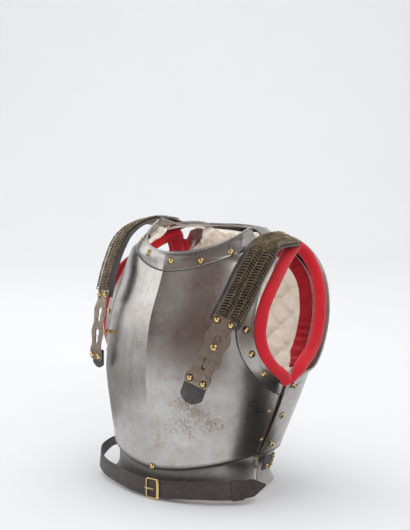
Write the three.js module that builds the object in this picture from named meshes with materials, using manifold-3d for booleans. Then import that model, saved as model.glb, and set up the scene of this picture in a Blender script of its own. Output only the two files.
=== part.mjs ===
// A cavalry cuirass: a ridged steel breastplate and a backplate with quilted linings, red padded
// arm rolls, two shoulder straps of brass chain on leather with slotted end plates, and a waist belt.
// Millimetres, +Z up. The front faces -Y, the wearer's left is +X, and the plates stand on z = 0.
import * as THREE from "three";
import { mergeVertices } from "three/addons/utils/BufferGeometryUtils.js";
import Module from "manifold-3d";

const wasm = await Module();
wasm.setup();

// ---------- driving dimensions ----------

const BREAST_THICKNESS = 2.6;
const BACK_THICKNESS = 2.2;
const BACK_OUT = 4.5; // the backplate's outer face lies this far outside the breastplate's
const LINING_THICKNESS = 3.6;
const LINING_GAP = 0.5;
const CREASE_SPREAD = 40; // how fast the ridge fades sideways
const RIDGE_DEG = 0;
const SIDE_DEG = 90;
const NAPE_DEG = 180;
const SEAM_LAP = 10; // the backplate's side edge laps this far over the breastplate's

// One row per level of the torso: z, half width, the y of its widest line, the y of the ridge, the
// height of the crease at the ridge, the y of the back, and how square the front and back halves are.
const LEVELS = [
  { z: 0, half: 136, mid: -38, ridge: -134, crease: 4, back: 104, frontPower: 2.1, backPower: 2.1 },
  { z: 50, half: 139, mid: -38, ridge: -135, crease: 4, back: 101, frontPower: 2.1, backPower: 2.1 },
  { z: 78, half: 146, mid: -31, ridge: -137, crease: 5, back: 107, frontPower: 2.1, backPower: 2.1 },
  { z: 105, half: 153, mid: -22, ridge: -140, crease: 6, back: 117, frontPower: 2.15, backPower: 2.1 },
  { z: 130, half: 159, mid: -14, ridge: -143, crease: 7, back: 126, frontPower: 2.2, backPower: 2.15 },
  { z: 163, half: 166, mid: -3, ridge: -147.5, crease: 8, back: 137, frontPower: 2.25, backPower: 2.25 },
  { z: 200, half: 171, mid: 9, ridge: -150.5, crease: 9, back: 148, frontPower: 2.3, backPower: 2.4 },
  { z: 256, half: 172, mid: 26, ridge: -147, crease: 11, back: 158, frontPower: 2.3, backPower: 2.7 },
  { z: 300, half: 168, mid: 36, ridge: -137, crease: 12, back: 162, frontPower: 2.35, backPower: 3 },
  { z: 348, half: 158, mid: 42, ridge: -115, crease: 13, back: 158, frontPower: 2.4, backPower: 3 },
  { z: 390, half: 144, mid: 38, ridge: -97, crease: 13, back: 139, frontPower: 2.45, backPower: 2.3 },
  { z: 400, half: 132, mid: 34, ridge: -85.5, crease: 12.7, back: 125, frontPower: 2.45, backPower: 1.95 },
  { z: 410, half: 115, mid: 30, ridge: -72, crease: 12, back: 113, frontPower: 2.45, backPower: 1.85 },
  { z: 420, half: 100, mid: 27, ridge: -54, crease: 11, back: 100, frontPower: 2.45, backPower: 1.85 },
  { z: 430, half: 91, mid: 25, ridge: -31, crease: 8, back: 82, frontPower: 2.4, backPower: 2 },
  { z: 437, half: 84, mid: 23, ridge: 3, crease: 0, back: 52, frontPower: 2.4, backPower: 2.4 },
];

// The armhole seen from the side is a leaning oval, pinched towards its lowest point.
const HOLE = { y: 38, z: 298, radiusY: 101, radiusZ: 110, lean: 33, pinch: 0.18 };
const BREAST_HOLE = { footDeg: 266.5, topDeg: 122.8 };
const BREAST_BORDER = 19; // width of the turned border round the breastplate's armholes
const BACK_BORDER = 20;
const BACK_NARROWING = 0.65; // the back border loses this share of its width over the shoulder
const BACK_HOLE = { footDeg: -94, topDeg: 119, growY: 4, rearY: -28, growUp: 3, growDown: -14, square: 2.7 };
const ARM_FLARE = 7;
const BACK_ARM_FLARE = 15;

const NECK_LINE = { z: 368, backZ: 397, backRise: 17 };
const NECK_RIM = { y: 5, halfWidth: 97, depth: 100, z: 397.6, slope: 0.405, endDeg: 86 };
const BACK_RIM = { y: 22, halfWidth: 97, depth: 84, z: 435, drop: 13, dropDeg: 38, startDeg: -10.7 };

const WAIST = { z: 50, rise: 27, power: 1.8, backZ: 62 };
const FOOT_RISE = 17; // how far the lower edge lifts off the ground at the sides
const FOOT_FLAT_DEG = 10; // the lower edge is flat on the ground this far round from the centre lines
const FOOT_POWER = 0.75;
const FLANGE = [
  { t: 0, out: 0 },
  { t: 0.1, out: -4.5 },
  { t: 0.35, out: -7 },
  { t: 0.7, out: -4 },
  { t: 1, out: 2 },
];
const FLANGE_SIDE_FLARE = 8;
const BACK_FLANGE_IN = 5.5; // the backplate's flange flares this much less at its lower edge
const BACK_EDGE = { y: -26, z: 50, share: 0.45 };

const BREAST_ROLL = { wide: 17, thick: 13, inset: 13.5, out: 2.5, drop: 10, footDeg: 268, topDeg: 124 };
const BACK_ROLL = { wide: 20, thick: 17, inset: 14.5, out: 3, drop: 0, footDeg: -80, topDeg: 117 };
const FACING = { grow: -8, thick: 4, top: -8.5, bottom: -30, footDeg: -66, topDeg: 100 };

const STRAP_LEATHER = { wide: 52, thick: 2.4 };
const STRAP_CHAIN = { wide: 42, thick: 4.5, shift: 4 };
const PLATE = { thick: 1.8, length: 116, half: 19, wave: 2.4, wavePitch: 36 };
const KEYHOLE = { round: 6, slot: 3.9, drop: 14, first: 35, second: 71 };
const TIP = { start: 98, end: 149, shortEnd: 129, half: 19, thick: 2.4 };
const DOME = { radius: 5, height: 4 };
const STUD = { shank: 3.2, head: 5.6, reach: 8, height: 12 };

const PLATE_RIVET = { inset: 7.5, half: 12 };
const LEATHER_LAP = 9; // the strap's leather reaches this far under the end plate
const COVER_LIFT = STRAP_LEATHER.thick + 2.2; // chain and end plate lie this far above the underside
const STRAP_STEPS = 96;
const PLATE_STEPS = 20;
const ROLL_STEPS = 15;
const ROLL_SIDES = 8;
const FACING_STEPS = 12;

const LINING_OUT = -(BREAST_THICKNESS + LINING_GAP + 1.6);
const BACK_LINING_OUT = BACK_OUT - BACK_THICKNESS - LINING_GAP - 4.3;
const LINING_SHARE = 0.84;
const LINING_CUT = { lean: 0.328, y: -48 };
const BACK_LINING_LIFT = 26; // it stands off the plate along the armholes

const BELT = { wide: 29, thick: 2.2, layer: 2.8 };
const FRAME_SHIFT = -8; // moves the whole cuirass along Y so that its footprint is centred
const TAU = Math.PI * 2;

// ---------- small helpers ----------

const vec = (x, y, z) => new THREE.Vector3(x, y, z);
const mix = THREE.MathUtils.lerp;
const radians = THREE.MathUtils.degToRad;
const clamp = THREE.MathUtils.clamp;
const mirrored = (p) => vec(-p.x, p.y, p.z);
const smooth = (t) => THREE.MathUtils.smoothstep(t, 0, 1);

// A cubic through a table's rows, with slopes from the rows on either side.
function column(rows, key, at, value) {
  const last = rows.length - 1;
  const x = clamp(value, rows[0][at], rows[last][at]);
  let i = 0;
  while (i < last - 1 && x > rows[i + 1][at]) i += 1;
  const slope = (k) => {
    const a = rows[Math.max(k - 1, 0)];
    const b = rows[Math.min(k + 1, last)];
    return (b[key] - a[key]) / (b[at] - a[at]);
  };
  const h = rows[i + 1][at] - rows[i][at];
  const t = (x - rows[i][at]) / h;
  const start = (1 + 2 * t) * (1 - t) * (1 - t) * rows[i][key] + t * (1 - t) * (1 - t) * h * slope(i);
  return start + t * t * (3 - 2 * t) * rows[i + 1][key] + t * t * (t - 1) * h * slope(i + 1);
}

function level(z) {
  const at = { z };
  for (const key of Object.keys(LEVELS[0])) {
    if (key !== "z") at[key] = column(LEVELS, key, "z", z);
  }
  return at;
}

// ---------- the torso's skin ----------

// The point of the skin at an angle round the body (0 ridge, 90 side, 180 nape) and a height.
function skinPoint(deg, z) {
  const s = level(z);
  const angle = radians(deg);
  const front = deg <= SIDE_DEG;
  const power = 2 / (front ? s.frontPower : s.backPower);
  const x = s.half * Math.abs(Math.sin(angle)) ** power;
  const depth = Math.abs(Math.cos(angle)) ** power;
  if (!front) return vec(x, s.mid + (s.back - s.mid) * depth, z);
  const reach = s.mid - s.ridge - s.crease;
  return vec(x, s.mid - reach * depth - s.crease * Math.exp(-x / CREASE_SPREAD), z);
}

// The skin's outward direction, from points a little to each side.
function skinNormal(deg, z) {
  const step = 0.6;
  const up = skinPoint(deg, z + step).sub(skinPoint(deg, z - step));
  const low = clamp(deg - step, RIDGE_DEG, NAPE_DEG);
  const high = clamp(deg + step, RIDGE_DEG, NAPE_DEG);
  let round = skinPoint(high, z).sub(skinPoint(low, z));
  if (deg < step) round = vec(1, 0, 0);
  if (deg > NAPE_DEG - step) round = vec(-1, 0, 0);
  return round.cross(up).normalize();
}

function skin(deg, z, out = 0) {
  return skinPoint(deg, z).addScaledVector(skinNormal(deg, z), out);
}

// The angle at which the skin reaches a given y, or a given x on its front or back half.
function degAtY(y, z) {
  const s = level(z);
  const front = y <= s.mid;
  const reach = front ? s.mid - s.ridge - s.crease : s.back - s.mid;
  const power = front ? s.frontPower : s.backPower;
  const share = clamp(Math.abs(s.mid - y) / reach, 0, 1) ** (power / 2);
  const deg = THREE.MathUtils.radToDeg(Math.acos(share));
  return front ? deg : NAPE_DEG - deg;
}

function degAtX(x, z, front) {
  const s = level(z);
  const share = clamp(x / s.half, 0, 1) ** ((front ? s.frontPower : s.backPower) / 2);
  const deg = THREE.MathUtils.radToDeg(Math.asin(share));
  return front ? deg : NAPE_DEG - deg;
}

// The angle and height at which the top of the skin passes over a point of the plan.
function skinAbove(x, y) {
  let low = LEVELS[0].z;
  let high = LEVELS[LEVELS.length - 1].z;
  for (let k = 0; k < 40; k += 1) {
    const z = (low + high) / 2;
    if (skinPoint(degAtY(y, z), z).x > x) low = z;
    else high = z;
  }
  return { deg: degAtY(y, low), z: low };
}

// ---------- the plates' outlines, as angle and height on the skin ----------

// The armhole's outline in y and z, grown outwards; the back half has its own reach and corner.
function holePoint(deg, grow, isBack) {
  const c = Math.cos(radians(deg));
  const s = Math.sin(radians(deg));
  if (!isBack) {
    const pinch = 1 - HOLE.pinch * Math.max(0, -s) ** 3;
    const y = HOLE.y + (HOLE.radiusY + grow) * c * pinch + HOLE.lean * s;
    return { y, z: HOLE.z + (HOLE.radiusZ + grow) * s };
  }
  const low = s < 0;
  const bend = low ? 2 / BACK_HOLE.square : 1;
  const radiusY = HOLE.radiusY + (c > 0 ? BACK_HOLE.rearY : BACK_HOLE.growY) + grow;
  const radiusZ = HOLE.radiusZ + (low ? BACK_HOLE.growDown : BACK_HOLE.growUp) + grow;
  const y = HOLE.y + Math.sign(c) * radiusY * Math.abs(c) ** bend + HOLE.lean * s;
  return { y, z: HOLE.z + Math.sign(s) * radiusZ * Math.abs(s) ** bend };
}

function waistZ(deg) {
  if (deg <= SIDE_DEG) return WAIST.z + WAIST.rise * Math.sin(radians(deg)) ** WAIST.power;
  return mix(WAIST.backZ, WAIST.z + WAIST.rise, Math.sin(radians(deg)) ** 2);
}

function footZ(deg) {
  const round = deg <= SIDE_DEG ? deg : NAPE_DEG - deg;
  const lifted = Math.max(0, (round - FOOT_FLAT_DEG) / (SIDE_DEG - FOOT_FLAT_DEG));
  return FOOT_RISE * lifted ** FOOT_POWER;
}

// A grid of {deg, z} pairs filled in between four edges (each a function of 0 to 1).
function fill(bottom, top, left, right, across, up) {
  const grid = [];
  for (let j = 0; j <= up; j += 1) {
    const v = j / up;
    const row = [];
    for (let i = 0; i <= across; i += 1) {
      const u = i / across;
      const at = {};
      for (const key of ["deg", "z"]) {
        const ruled = mix(bottom(u)[key], top(u)[key], v) + mix(left(v)[key], right(v)[key], u);
        const low = mix(bottom(0)[key], bottom(1)[key], u);
        const high = mix(top(0)[key], top(1)[key], u);
        at[key] = ruled - mix(low, high, v);
      }
      row.push(at);
    }
    grid.push(row);
  }
  return grid;
}

const line = (a, b) => (t) => ({ deg: mix(a.deg, b.deg, t), z: mix(a.z, b.z, t) });

// ---------- solids ----------

function manifoldOf(points, triangles) {
  const made = new wasm.Manifold(
    new wasm.Mesh({
      numProp: 3,
      vertProperties: new Float32Array(points.flatMap((p) => [p.x, p.y, p.z])),
      triVerts: new Uint32Array(triangles.flat()),
    }),
  );
  return made;
}

function geometryOf(solid) {
  const mesh = solid.getMesh();
  const geometry = new THREE.BufferGeometry();
  geometry.setAttribute("position", new THREE.BufferAttribute(new Float32Array(mesh.vertProperties), 3));
  geometry.setIndex(new THREE.BufferAttribute(new Uint32Array(mesh.triVerts), 1));
  return geometry;
}

// A three.js geometry as a solid, with its seams closed.
function solidOf(geometry) {
  const bare = geometry.index ? geometry.toNonIndexed() : geometry.clone();
  bare.deleteAttribute("normal");
  bare.deleteAttribute("uv");
  const merged = mergeVertices(bare, 1e-4);
  return new wasm.Manifold(
    new wasm.Mesh({
      numProp: 3,
      vertProperties: new Float32Array(merged.attributes.position.array),
      triVerts: new Uint32Array(merged.index.array),
    }),
  );
}

// Several grids of points that share edges become one shell: their faces look outwards, and the
// inner face follows at the thickness. Points low on the flange keep their height on both faces.
function shell(grids, thickness) {
  const points = [];
  const known = new Map();
  const indexOf = (p) => {
    const key = [p.x, p.y, p.z].map((v) => Math.round(v * 50)).join();
    if (!known.has(key)) {
      known.set(key, points.length);
      points.push(p.clone());
    }
    return known.get(key);
  };
  const triangles = [];
  for (const grid of grids) {
    for (let j = 0; j + 1 < grid.length; j += 1) {
      for (let i = 0; i + 1 < grid[j].length; i += 1) {
        const a = indexOf(grid[j][i]);
        const b = indexOf(grid[j][i + 1]);
        const c = indexOf(grid[j + 1][i + 1]);
        const d = indexOf(grid[j + 1][i]);
        for (const t of [[a, b, c], [a, c, d]]) {
          if (new Set(t).size === 3) triangles.push(t);
        }
      }
    }
  }
  const normals = points.map(() => vec(0, 0, 0));
  for (const [a, b, c] of triangles) {
    const side = points[b].clone().sub(points[a]);
    const face = side.cross(points[c].clone().sub(points[a]));
    for (const k of [a, b, c]) normals[k].add(face);
  }
  const count = points.length;
  const inner = points.map((p, k) => {
    const n = normals[k].normalize();
    if (p.z < FOOT_RISE + 0.01) n.setZ(0).normalize();
    return p.clone().addScaledVector(n, -thickness);
  });
  const edges = new Map();
  for (const t of triangles) {
    for (let k = 0; k < 3; k += 1) edges.set(t[k] + ">" + t[(k + 1) % 3], [t[k], t[(k + 1) % 3]]);
  }
  const faces = [...triangles, ...triangles.map(([a, b, c]) => [a + count, c + count, b + count])];
  for (const [a, b] of edges.values()) {
    if (!edges.has(b + ">" + a)) faces.push([b, a, a + count], [b, a + count, b + count]);
  }
  return manifoldOf([...points, ...inner], faces);
}

// A closed body through rings of points, with a flat cap on each end.
function loft(rings) {
  const points = rings.flat();
  const size = rings[0].length;
  const triangles = [];
  for (let j = 0; j + 1 < rings.length; j += 1) {
    for (let i = 0; i < size; i += 1) {
      const a = j * size + i;
      const b = j * size + ((i + 1) % size);
      triangles.push([a, b, b + size], [a, b + size, a + size]);
    }
  }
  const end = points.length - size;
  for (let i = 1; i + 1 < size; i += 1) {
    triangles.push([0, i + 1, i], [end, end + i, end + i + 1]);
  }
  const solid = manifoldOf(points, triangles);
  if (solid.volume() > 0) return solid;
  return manifoldOf(points, triangles.map(([a, b, c]) => [a, c, b]));
}

// Evenly spaced frames along a route: its points with the direction each one faces.
function framesAlong(points, facings, steps) {
  const curve = new THREE.CatmullRomCurve3(points, false, "centripetal");
  const lengths = [0];
  for (let k = 1; k < points.length; k += 1) {
    lengths.push(lengths[k - 1] + points[k].distanceTo(points[k - 1]));
  }
  const total = lengths[lengths.length - 1];
  const frames = [];
  for (let k = 0; k <= steps; k += 1) {
    const u = k / steps;
    let i = 0;
    while (i < points.length - 2 && lengths[i + 1] < u * total) i += 1;
    const t = clamp((u * total - lengths[i]) / (lengths[i + 1] - lengths[i]), 0, 1);
    const along = curve.getTangentAt(u);
    const out = facings[i].clone().lerp(facings[i + 1], t);
    out.addScaledVector(along, -out.dot(along)).normalize();
    frames.push({ at: curve.getPointAt(u), along, out, across: along.clone().cross(out) });
  }
  return { frames, length: curve.getLength() };
}

// A flat band along a route, with a slight bevel at its four corners.
function band(frames, wide, thick, shift = 0, raise = 0) {
  return loft(
    frames.map((f, k) => {
      const w = typeof wide === "function" ? wide(k / (frames.length - 1)) : wide;
      const corners = [
        [-w / 2, 0],
        [w / 2, 0],
        [w / 2, thick],
        [-w / 2, thick],
      ];
      return corners.map(([a, b]) =>
        f.at.clone().addScaledVector(f.across, a + shift).addScaledVector(f.out, b + raise),
      );
    }),
  );
}

// A body turned about its own axis and stood on a point, facing a direction.
function turned(profile, sides, at, facing) {
  const shape = new THREE.LatheGeometry(profile.map(([r, h]) => new THREE.Vector2(r, h)), sides);
  const turn = new THREE.Quaternion().setFromUnitVectors(vec(0, 1, 0), facing.clone().normalize());
  shape.applyMatrix4(new THREE.Matrix4().compose(at, turn, vec(1, 1, 1)));
  const solid = solidOf(shape);
  return solid.volume() > 0 ? solid : null;
}

function dome(at, facing, size = 1, sink = 0) {
  const r = DOME.radius * size;
  const h = DOME.height * size;
  const profile = [[0, -sink], [r, -sink], [r * 0.82, h * 0.66], [0, h]];
  return turned(profile, 8, at, facing);
}


// ---------- breastplate and backplate ----------

const FLANGE_ROWS = 4;
const LOWER_ROWS = 4;
const UPPER_ROWS = 8;
const COLUMNS = 9;
const BORDER_ROWS = 3;
const RIDGE_MID_Z = 188;
const NAPE_MID_Z = 180;

const seamDeg = (z) => degAtY(level(z).mid - SEAM_LAP, z);

// The armhole's line at a share of the way up, a share of the border's width outside its edge.
function breastArm(t, share) {
  const deg = mix(BREAST_HOLE.footDeg, BREAST_HOLE.topDeg, t);
  const p = holePoint(deg, BREAST_BORDER * share, false);
  return { deg: Math.min(degAtY(p.y, p.z), SIDE_DEG), z: p.z };
}

function backArm(t, share) {
  const deg = mix(BACK_HOLE.footDeg, BACK_HOLE.topDeg, t);
  const wide = BACK_BORDER * (1 - BACK_NARROWING * smooth((t - 0.5) / 0.3));
  const p = holePoint(deg, wide * share, true);
  return { deg: Math.max(degAtY(p.y, p.z), seamDeg(p.z)), z: p.z };
}

// The rim of the neck opening: a sloping arc in front and a level one behind.
function breastRim(t) {
  const angle = radians(NECK_RIM.endDeg * t);
  const y = NECK_RIM.y - NECK_RIM.depth * Math.cos(angle);
  const z = NECK_RIM.z + NECK_RIM.slope * (y - NECK_RIM.y + NECK_RIM.depth);
  return vec(NECK_RIM.halfWidth * Math.sin(angle), y, z);
}

function backRim(t) {
  const deg = mix(BACK_RIM.startDeg, SIDE_DEG, t);
  const angle = radians(deg);
  const y = BACK_RIM.y + BACK_RIM.depth * Math.sin(angle);
  const drop = BACK_RIM.drop * smooth((deg - BACK_RIM.startDeg) / BACK_RIM.dropDeg);
  return vec(BACK_RIM.halfWidth * Math.cos(angle), y, BACK_RIM.z - drop);
}

// One half of a plate as grids of points: body, waist flange, neck border and arm border.
// Options: out moves it off the skin, share cuts the borders short, lift raises them.
function breastHalf({ out = 0, share = 1, flare = true, flange = true, armLift = 0 } = {}) {
  const armLine = (t) => breastArm(t, 1);
  const corner = armLine(1);
  const foot = armLine(0);
  const cornerX = skinPoint(corner.deg, corner.z).x;
  const waist = (t) => ({ deg: SIDE_DEG * t, z: waistZ(SIDE_DEG * t) });
  const mid = line({ deg: RIDGE_DEG, z: RIDGE_MID_Z }, foot);
  const neckLine = (t) => {
    const z = mix(NECK_LINE.z, corner.z, t * t);
    return t === 1 ? corner : { deg: degAtX(cornerX * t, z, true), z };
  };
  const place = (at) => skin(at.deg, at.z, out);
  const lower = fill(waist, mid, line(waist(0), mid(0)), line(waist(1), foot), COLUMNS, LOWER_ROWS);
  const upper = fill(mid, neckLine, line(mid(0), neckLine(0)), armLine, COLUMNS, UPPER_ROWS);
  const grids = [lower.map((r) => r.map(place)), upper.map((r) => r.map(place))];
  const rimAt = (t) => {
    const rim = breastRim(t);
    const at = { deg: degAtX(rim.x, rim.z, true), z: rim.z };
    return { at, push: rim.sub(skinPoint(at.deg, at.z)) };
  };
  grids.push(neckBorder(neckLine, rimAt, out, share, flare, COLUMNS));
  grids.push(armBorder(breastArm, out, share, flare ? ARM_FLARE : 0, armLift, false));
  if (flange) grids.unshift(flangeGrid((t) => SIDE_DEG * t, out, false));
  return grids;
}

function backHalf({ out = BACK_OUT, share = 1, flare = true, flange = true, armLift = 0 } = {}) {
  const armLine = (t) => backArm(t, 1);
  const corner = armLine(1);
  const foot = armLine(0);
  const waistAt = (t) => {
    const deg = mix(seamDeg(WAIST.z + WAIST.rise), NAPE_DEG, t);
    return { deg, z: waistZ(deg) };
  };
  const mid = line(foot, { deg: NAPE_DEG, z: NAPE_MID_Z });
  const neckLine = (t) => {
    const rise = NECK_LINE.backRise * Math.sin(Math.PI * t ** 0.6) ** 0.8;
    return { deg: mix(corner.deg, NAPE_DEG, t), z: mix(corner.z, NECK_LINE.backZ, t) + rise };
  };
  const seam = (t) => {
    const z = mix(waistAt(0).z, foot.z, t);
    return { deg: t === 0 ? waistAt(0).deg : seamDeg(z), z };
  };
  const place = (at) => skin(at.deg, at.z, out);
  const lower = fill(waistAt, mid, seam, line(waistAt(1), mid(1)), COLUMNS, LOWER_ROWS);
  const upper = fill(mid, neckLine, armLine, line(mid(1), neckLine(1)), COLUMNS, UPPER_ROWS);
  const grids = [lower.map((r) => r.map(place)), upper.map((r) => r.map(place))];
  const rimAt = (t) => {
    const rim = backRim(t);
    const at = { deg: degAtX(rim.x, rim.z, false), z: rim.z };
    return { at, push: rim.sub(skinPoint(at.deg, at.z)) };
  };
  grids.push(neckBorder(neckLine, rimAt, out, share, flare, COLUMNS));
  grids.push(armBorder(backArm, out, share, flare ? BACK_ARM_FLARE : 0, armLift, true));
  if (flange) grids.unshift(flangeGrid((t, share) => mix(backEdgeDeg(share), NAPE_DEG, t), out, true));
  return grids;
}

function neckBorder(neckLine, rimAt, out, share, flare, across) {
  const grid = [];
  for (let j = 0; j <= BORDER_ROWS; j += 1) {
    const t = (j / BORDER_ROWS) * share;
    const row = [];
    for (let i = 0; i <= across; i += 1) {
      const from = neckLine(i / across);
      const rim = rimAt(i / across);
      const at = line(from, rim.at)(t);
      const p = skin(at.deg, at.z, out);
      if (flare) p.addScaledVector(rim.push, t ** 1.5);
      row.push(p);
    }
    grid.push(row);
  }
  return grid;
}

// The arm border runs outwards from the arm line; its flare fades out at both of its ends.
function armBorder(armAt, out, share, flare, lift, isBack) {
  const grid = [];
  for (let j = 0; j <= UPPER_ROWS; j += 1) {
    const along = j / UPPER_ROWS;
    const fade = (1 - 0.8 * smooth((along - 0.62) / 0.3)) * smooth(along / 0.16);
    const row = [];
    for (let i = 0; i <= BORDER_ROWS; i += 1) {
      const t = (i / BORDER_ROWS) * share;
      const at = armAt(along, 1 - t);
      row.push(skin(at.deg, at.z, out + flare * fade * t ** 1.6 - lift * t ** 1.4));
    }
    grid.push(isBack ? row.reverse() : row);
  }
  return grid;
}

// The backplate's flange starts a little further back than its side edge does at the waist.
function backEdgeDeg(share) {
  const waist = WAIST.z + WAIST.rise;
  return mix(seamDeg(waist), degAtY(BACK_EDGE.y, BACK_EDGE.z), clamp(share / BACK_EDGE.share, 0, 1));
}

function flangeGrid(degAt, out, isBack) {
  const grid = [];
  for (let j = FLANGE_ROWS; j >= 0; j -= 1) {
    const share = FLANGE[j].t;
    const row = [];
    for (let i = 0; i <= COLUMNS; i += 1) {
      const deg = degAt(i / COLUMNS, share);
      const z = mix(waistZ(deg), footZ(deg), share);
      const side = FLANGE_SIDE_FLARE * Math.sin(radians(deg)) ** 2 * share * share;
      const p = skin(deg, z, out + FLANGE[j].out + (isBack ? -BACK_FLANGE_IN * share * share : side));
      if (j === FLANGE_ROWS) p.z = footZ(deg);
      row.push(p);
    }
    grid.push(row);
  }
  return grid;
}

// Both halves: the second is the first one mirrored, with its rows turned round.
const bothHalves = (grids) => [
  ...grids,
  ...grids.map((grid) => grid.map((row) => row.map(mirrored).reverse())),
];

// ---------- materials and the assembly ----------

const finish = (color, roughness, metalness) =>
  new THREE.MeshStandardMaterial({ color, roughness, metalness });
const STEEL = finish(0x9a938f, 0.42, 0.95);
const BRASS = finish(0xb08d45, 0.35, 0.95);
const TARNISHED_BRASS = finish(0x7d6a58, 0.55, 0.8);
const RED_CLOTH = finish(0xb01f30, 0.95, 0);
const QUILTED_LINEN = finish(0xdccdb8, 0.95, 0);
const DARK_LEATHER = finish(0x2e2522, 0.6, 0);

const cuirass = new THREE.Group();
cuirass.name = "cuirass";

function add(name, solid, material) {
  const mesh = new THREE.Mesh(geometryOf(solid), material);
  mesh.name = name;
  cuirass.add(mesh);
  return mesh;
}

const SIDES = [
  { side: "left", sign: 1 },
  { side: "right", sign: -1 },
];
const forSide = (p, sign) => (sign > 0 ? p : mirrored(p));

// Where a line along a direction first meets a mesh, with the way its face looks.
function hitOn(mesh, near, direction) {
  const facing = direction.clone().normalize();
  const from = near.clone().addScaledVector(facing, 40);
  const hit = new THREE.Raycaster(from, facing.clone().negate()).intersectObject(mesh)[0];
  return { at: hit.point, facing: hit.face.normal.clone() };
}

// The same, raised until a round foot of a given radius clears the mesh all round.
function seat(mesh, near, direction, radius, gap) {
  const { at, facing } = hitOn(mesh, near, direction);
  const turn = new THREE.Quaternion().setFromUnitVectors(vec(0, 0, 1), facing);
  let highest = 0;
  for (let k = 0; k < 8; k += 1) {
    const a = (k / 8) * TAU;
    const spot = vec(Math.cos(a), Math.sin(a), 0).multiplyScalar(radius).applyQuaternion(turn);
    const hit = hitOn(mesh, at.clone().add(spot), facing);
    highest = Math.max(highest, hit.at.sub(at).dot(facing));
  }
  return { at: at.addScaledVector(facing, highest + gap), facing };
}

// ---------- plates and linings ----------

const breastShell = shell(bothHalves(breastHalf()), BREAST_THICKNESS);
const plainBreast = new THREE.Mesh(geometryOf(breastShell), STEEL);
const EDGE_RIVETS = [
  { x: 168, y: -23.5, z: 192.5 },
  { x: 161, y: -35, z: 148 },
  { x: 150, y: -41, z: 101 },
  { x: 142.5, y: -44, z: 68 },
];
const edgeRivets = EDGE_RIVETS.flatMap(({ x, y, z }) =>
  SIDES.map(({ sign }) => {
    const { at, facing } = hitOn(plainBreast, vec(x * sign, y, z), vec(sign, -0.35, 0));
    return dome(at, facing, 0.62, 1.2);
  }),
);
const breastplate = add("breastplate", wasm.Manifold.union([breastShell, ...edgeRivets]), STEEL);
const backplate = add("backplate", shell(bothHalves(backHalf()), BACK_THICKNESS), STEEL);
const lining = { share: LINING_SHARE, flare: false, flange: false };
add(
  "breast_lining",
  shell(bothHalves(breastHalf({ ...lining, out: LINING_OUT })), LINING_THICKNESS),
  QUILTED_LINEN,
);
const wholeBackLining = shell(
  bothHalves(backHalf({ ...lining, out: BACK_LINING_OUT, armLift: BACK_LINING_LIFT })),
  LINING_THICKNESS,
);
// It starts behind the breastplate's side edges, along a plane that leans like the seam.
const backLining = wholeBackLining.trimByPlane([0, 1, -LINING_CUT.lean], LINING_CUT.y);
add("back_lining", backLining, QUILTED_LINEN);

// ---------- arm rolls and facings ----------

// A padded roll that follows the armhole: an oval section swept round the hole's outline.
function armRoll(roll, isBack, sign) {
  const rings = [];
  for (let k = 0; k <= ROLL_STEPS; k += 1) {
    const t = k / ROLL_STEPS;
    const deg = mix(roll.footDeg, roll.topDeg, t);
    const taper = 1 - 0.5 * smooth(1 - t / 0.1) - 0.25 * smooth((t - 0.93) / 0.07);
    const rowAt = (grow) => {
      const p = holePoint(deg, grow, isBack);
      const reach = roll.drop * Math.max(0, 1 - t / 0.15) ** 1.5;
      const z = p.z - reach;
      const round = degAtY(p.y - 0.8 * reach, z);
      return { centre: skin(round, z, roll.out + 0.35 * reach), out: skinNormal(round, z) };
    };
    const { centre, out } = rowAt(-roll.inset);
    const across = rowAt(3 - roll.inset).centre.sub(rowAt(-3 - roll.inset).centre).normalize();
    const ring = [];
    for (let i = 0; i < ROLL_SIDES; i += 1) {
      const a = (i / ROLL_SIDES) * TAU;
      const wide = (roll.wide / 2) * taper * Math.cos(a);
      const high = (roll.thick / 2) * taper * Math.sin(a);
      ring.push(centre.clone().addScaledVector(across, wide).addScaledVector(out, high));
    }
    rings.push(ring.map((p) => forSide(p, sign)));
  }
  return loft(rings);
}

// The gathered strip that runs inwards from the back roll to the lining's edge.
function backFacing(sign) {
  const rings = [];
  for (let k = 0; k <= FACING_STEPS; k += 1) {
    const deg = mix(FACING.footDeg, FACING.topDeg, k / FACING_STEPS);
    const corner = (grow, out) => {
      const p = holePoint(deg, FACING.grow + grow, true);
      return forSide(skin(degAtY(p.y, p.z), p.z, out), sign);
    };
    const half = FACING.thick / 2;
    rings.push([
      corner(-half, FACING.top),
      corner(half, FACING.top),
      corner(half, FACING.bottom),
      corner(-half, FACING.bottom),
    ]);
  }
  return loft(rings);
}

for (const { side, sign } of SIDES) {
  add("breast_arm_roll_" + side, armRoll(BREAST_ROLL, false, sign), RED_CLOTH);
  add("back_arm_roll_" + side, armRoll(BACK_ROLL, true, sign), RED_CLOTH);
  add("back_facing_" + side, backFacing(sign), RED_CLOTH);
}

// ---------- rivets and studs on the plates ----------

const NECK_RIVETS = [
  { x: -85, y: -56, z: 407.6 },
  { x: -41.6, y: -88, z: 392 },
  { x: 12.3, y: -100, z: 385.6 },
  { x: 61.4, y: -85, z: 388.5 },
  { x: 99, y: -54.5, z: 403 },
];
NECK_RIVETS.forEach(({ x, y, z }, k) => {
  const { at, facing } = seat(breastplate, vec(x, y, z), vec(x / 100, -0.9, 0.6), DOME.radius, 0.45);
  add("rivet_neck_" + (k + 1), dome(at, facing), BRASS);
});
const SIDE_RIVETS = [
  { name: "rivet_breast_arm", on: breastplate, x: 145, y: -75, z: 284 },
  { name: "rivet_breast_arm", on: breastplate, x: 153, y: -72, z: 246 },
  { name: "rivet_breast_arm", on: breastplate, x: 165, y: -55, z: 213 },
  { name: "rivet_back_side", on: backplate, x: 172, y: 12.5, z: 182 },
  { name: "rivet_back_side", on: backplate, x: 163, y: -5, z: 136 },
  { name: "rivet_back_side", on: backplate, x: 151, y: -16, z: 88 },
];
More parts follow.
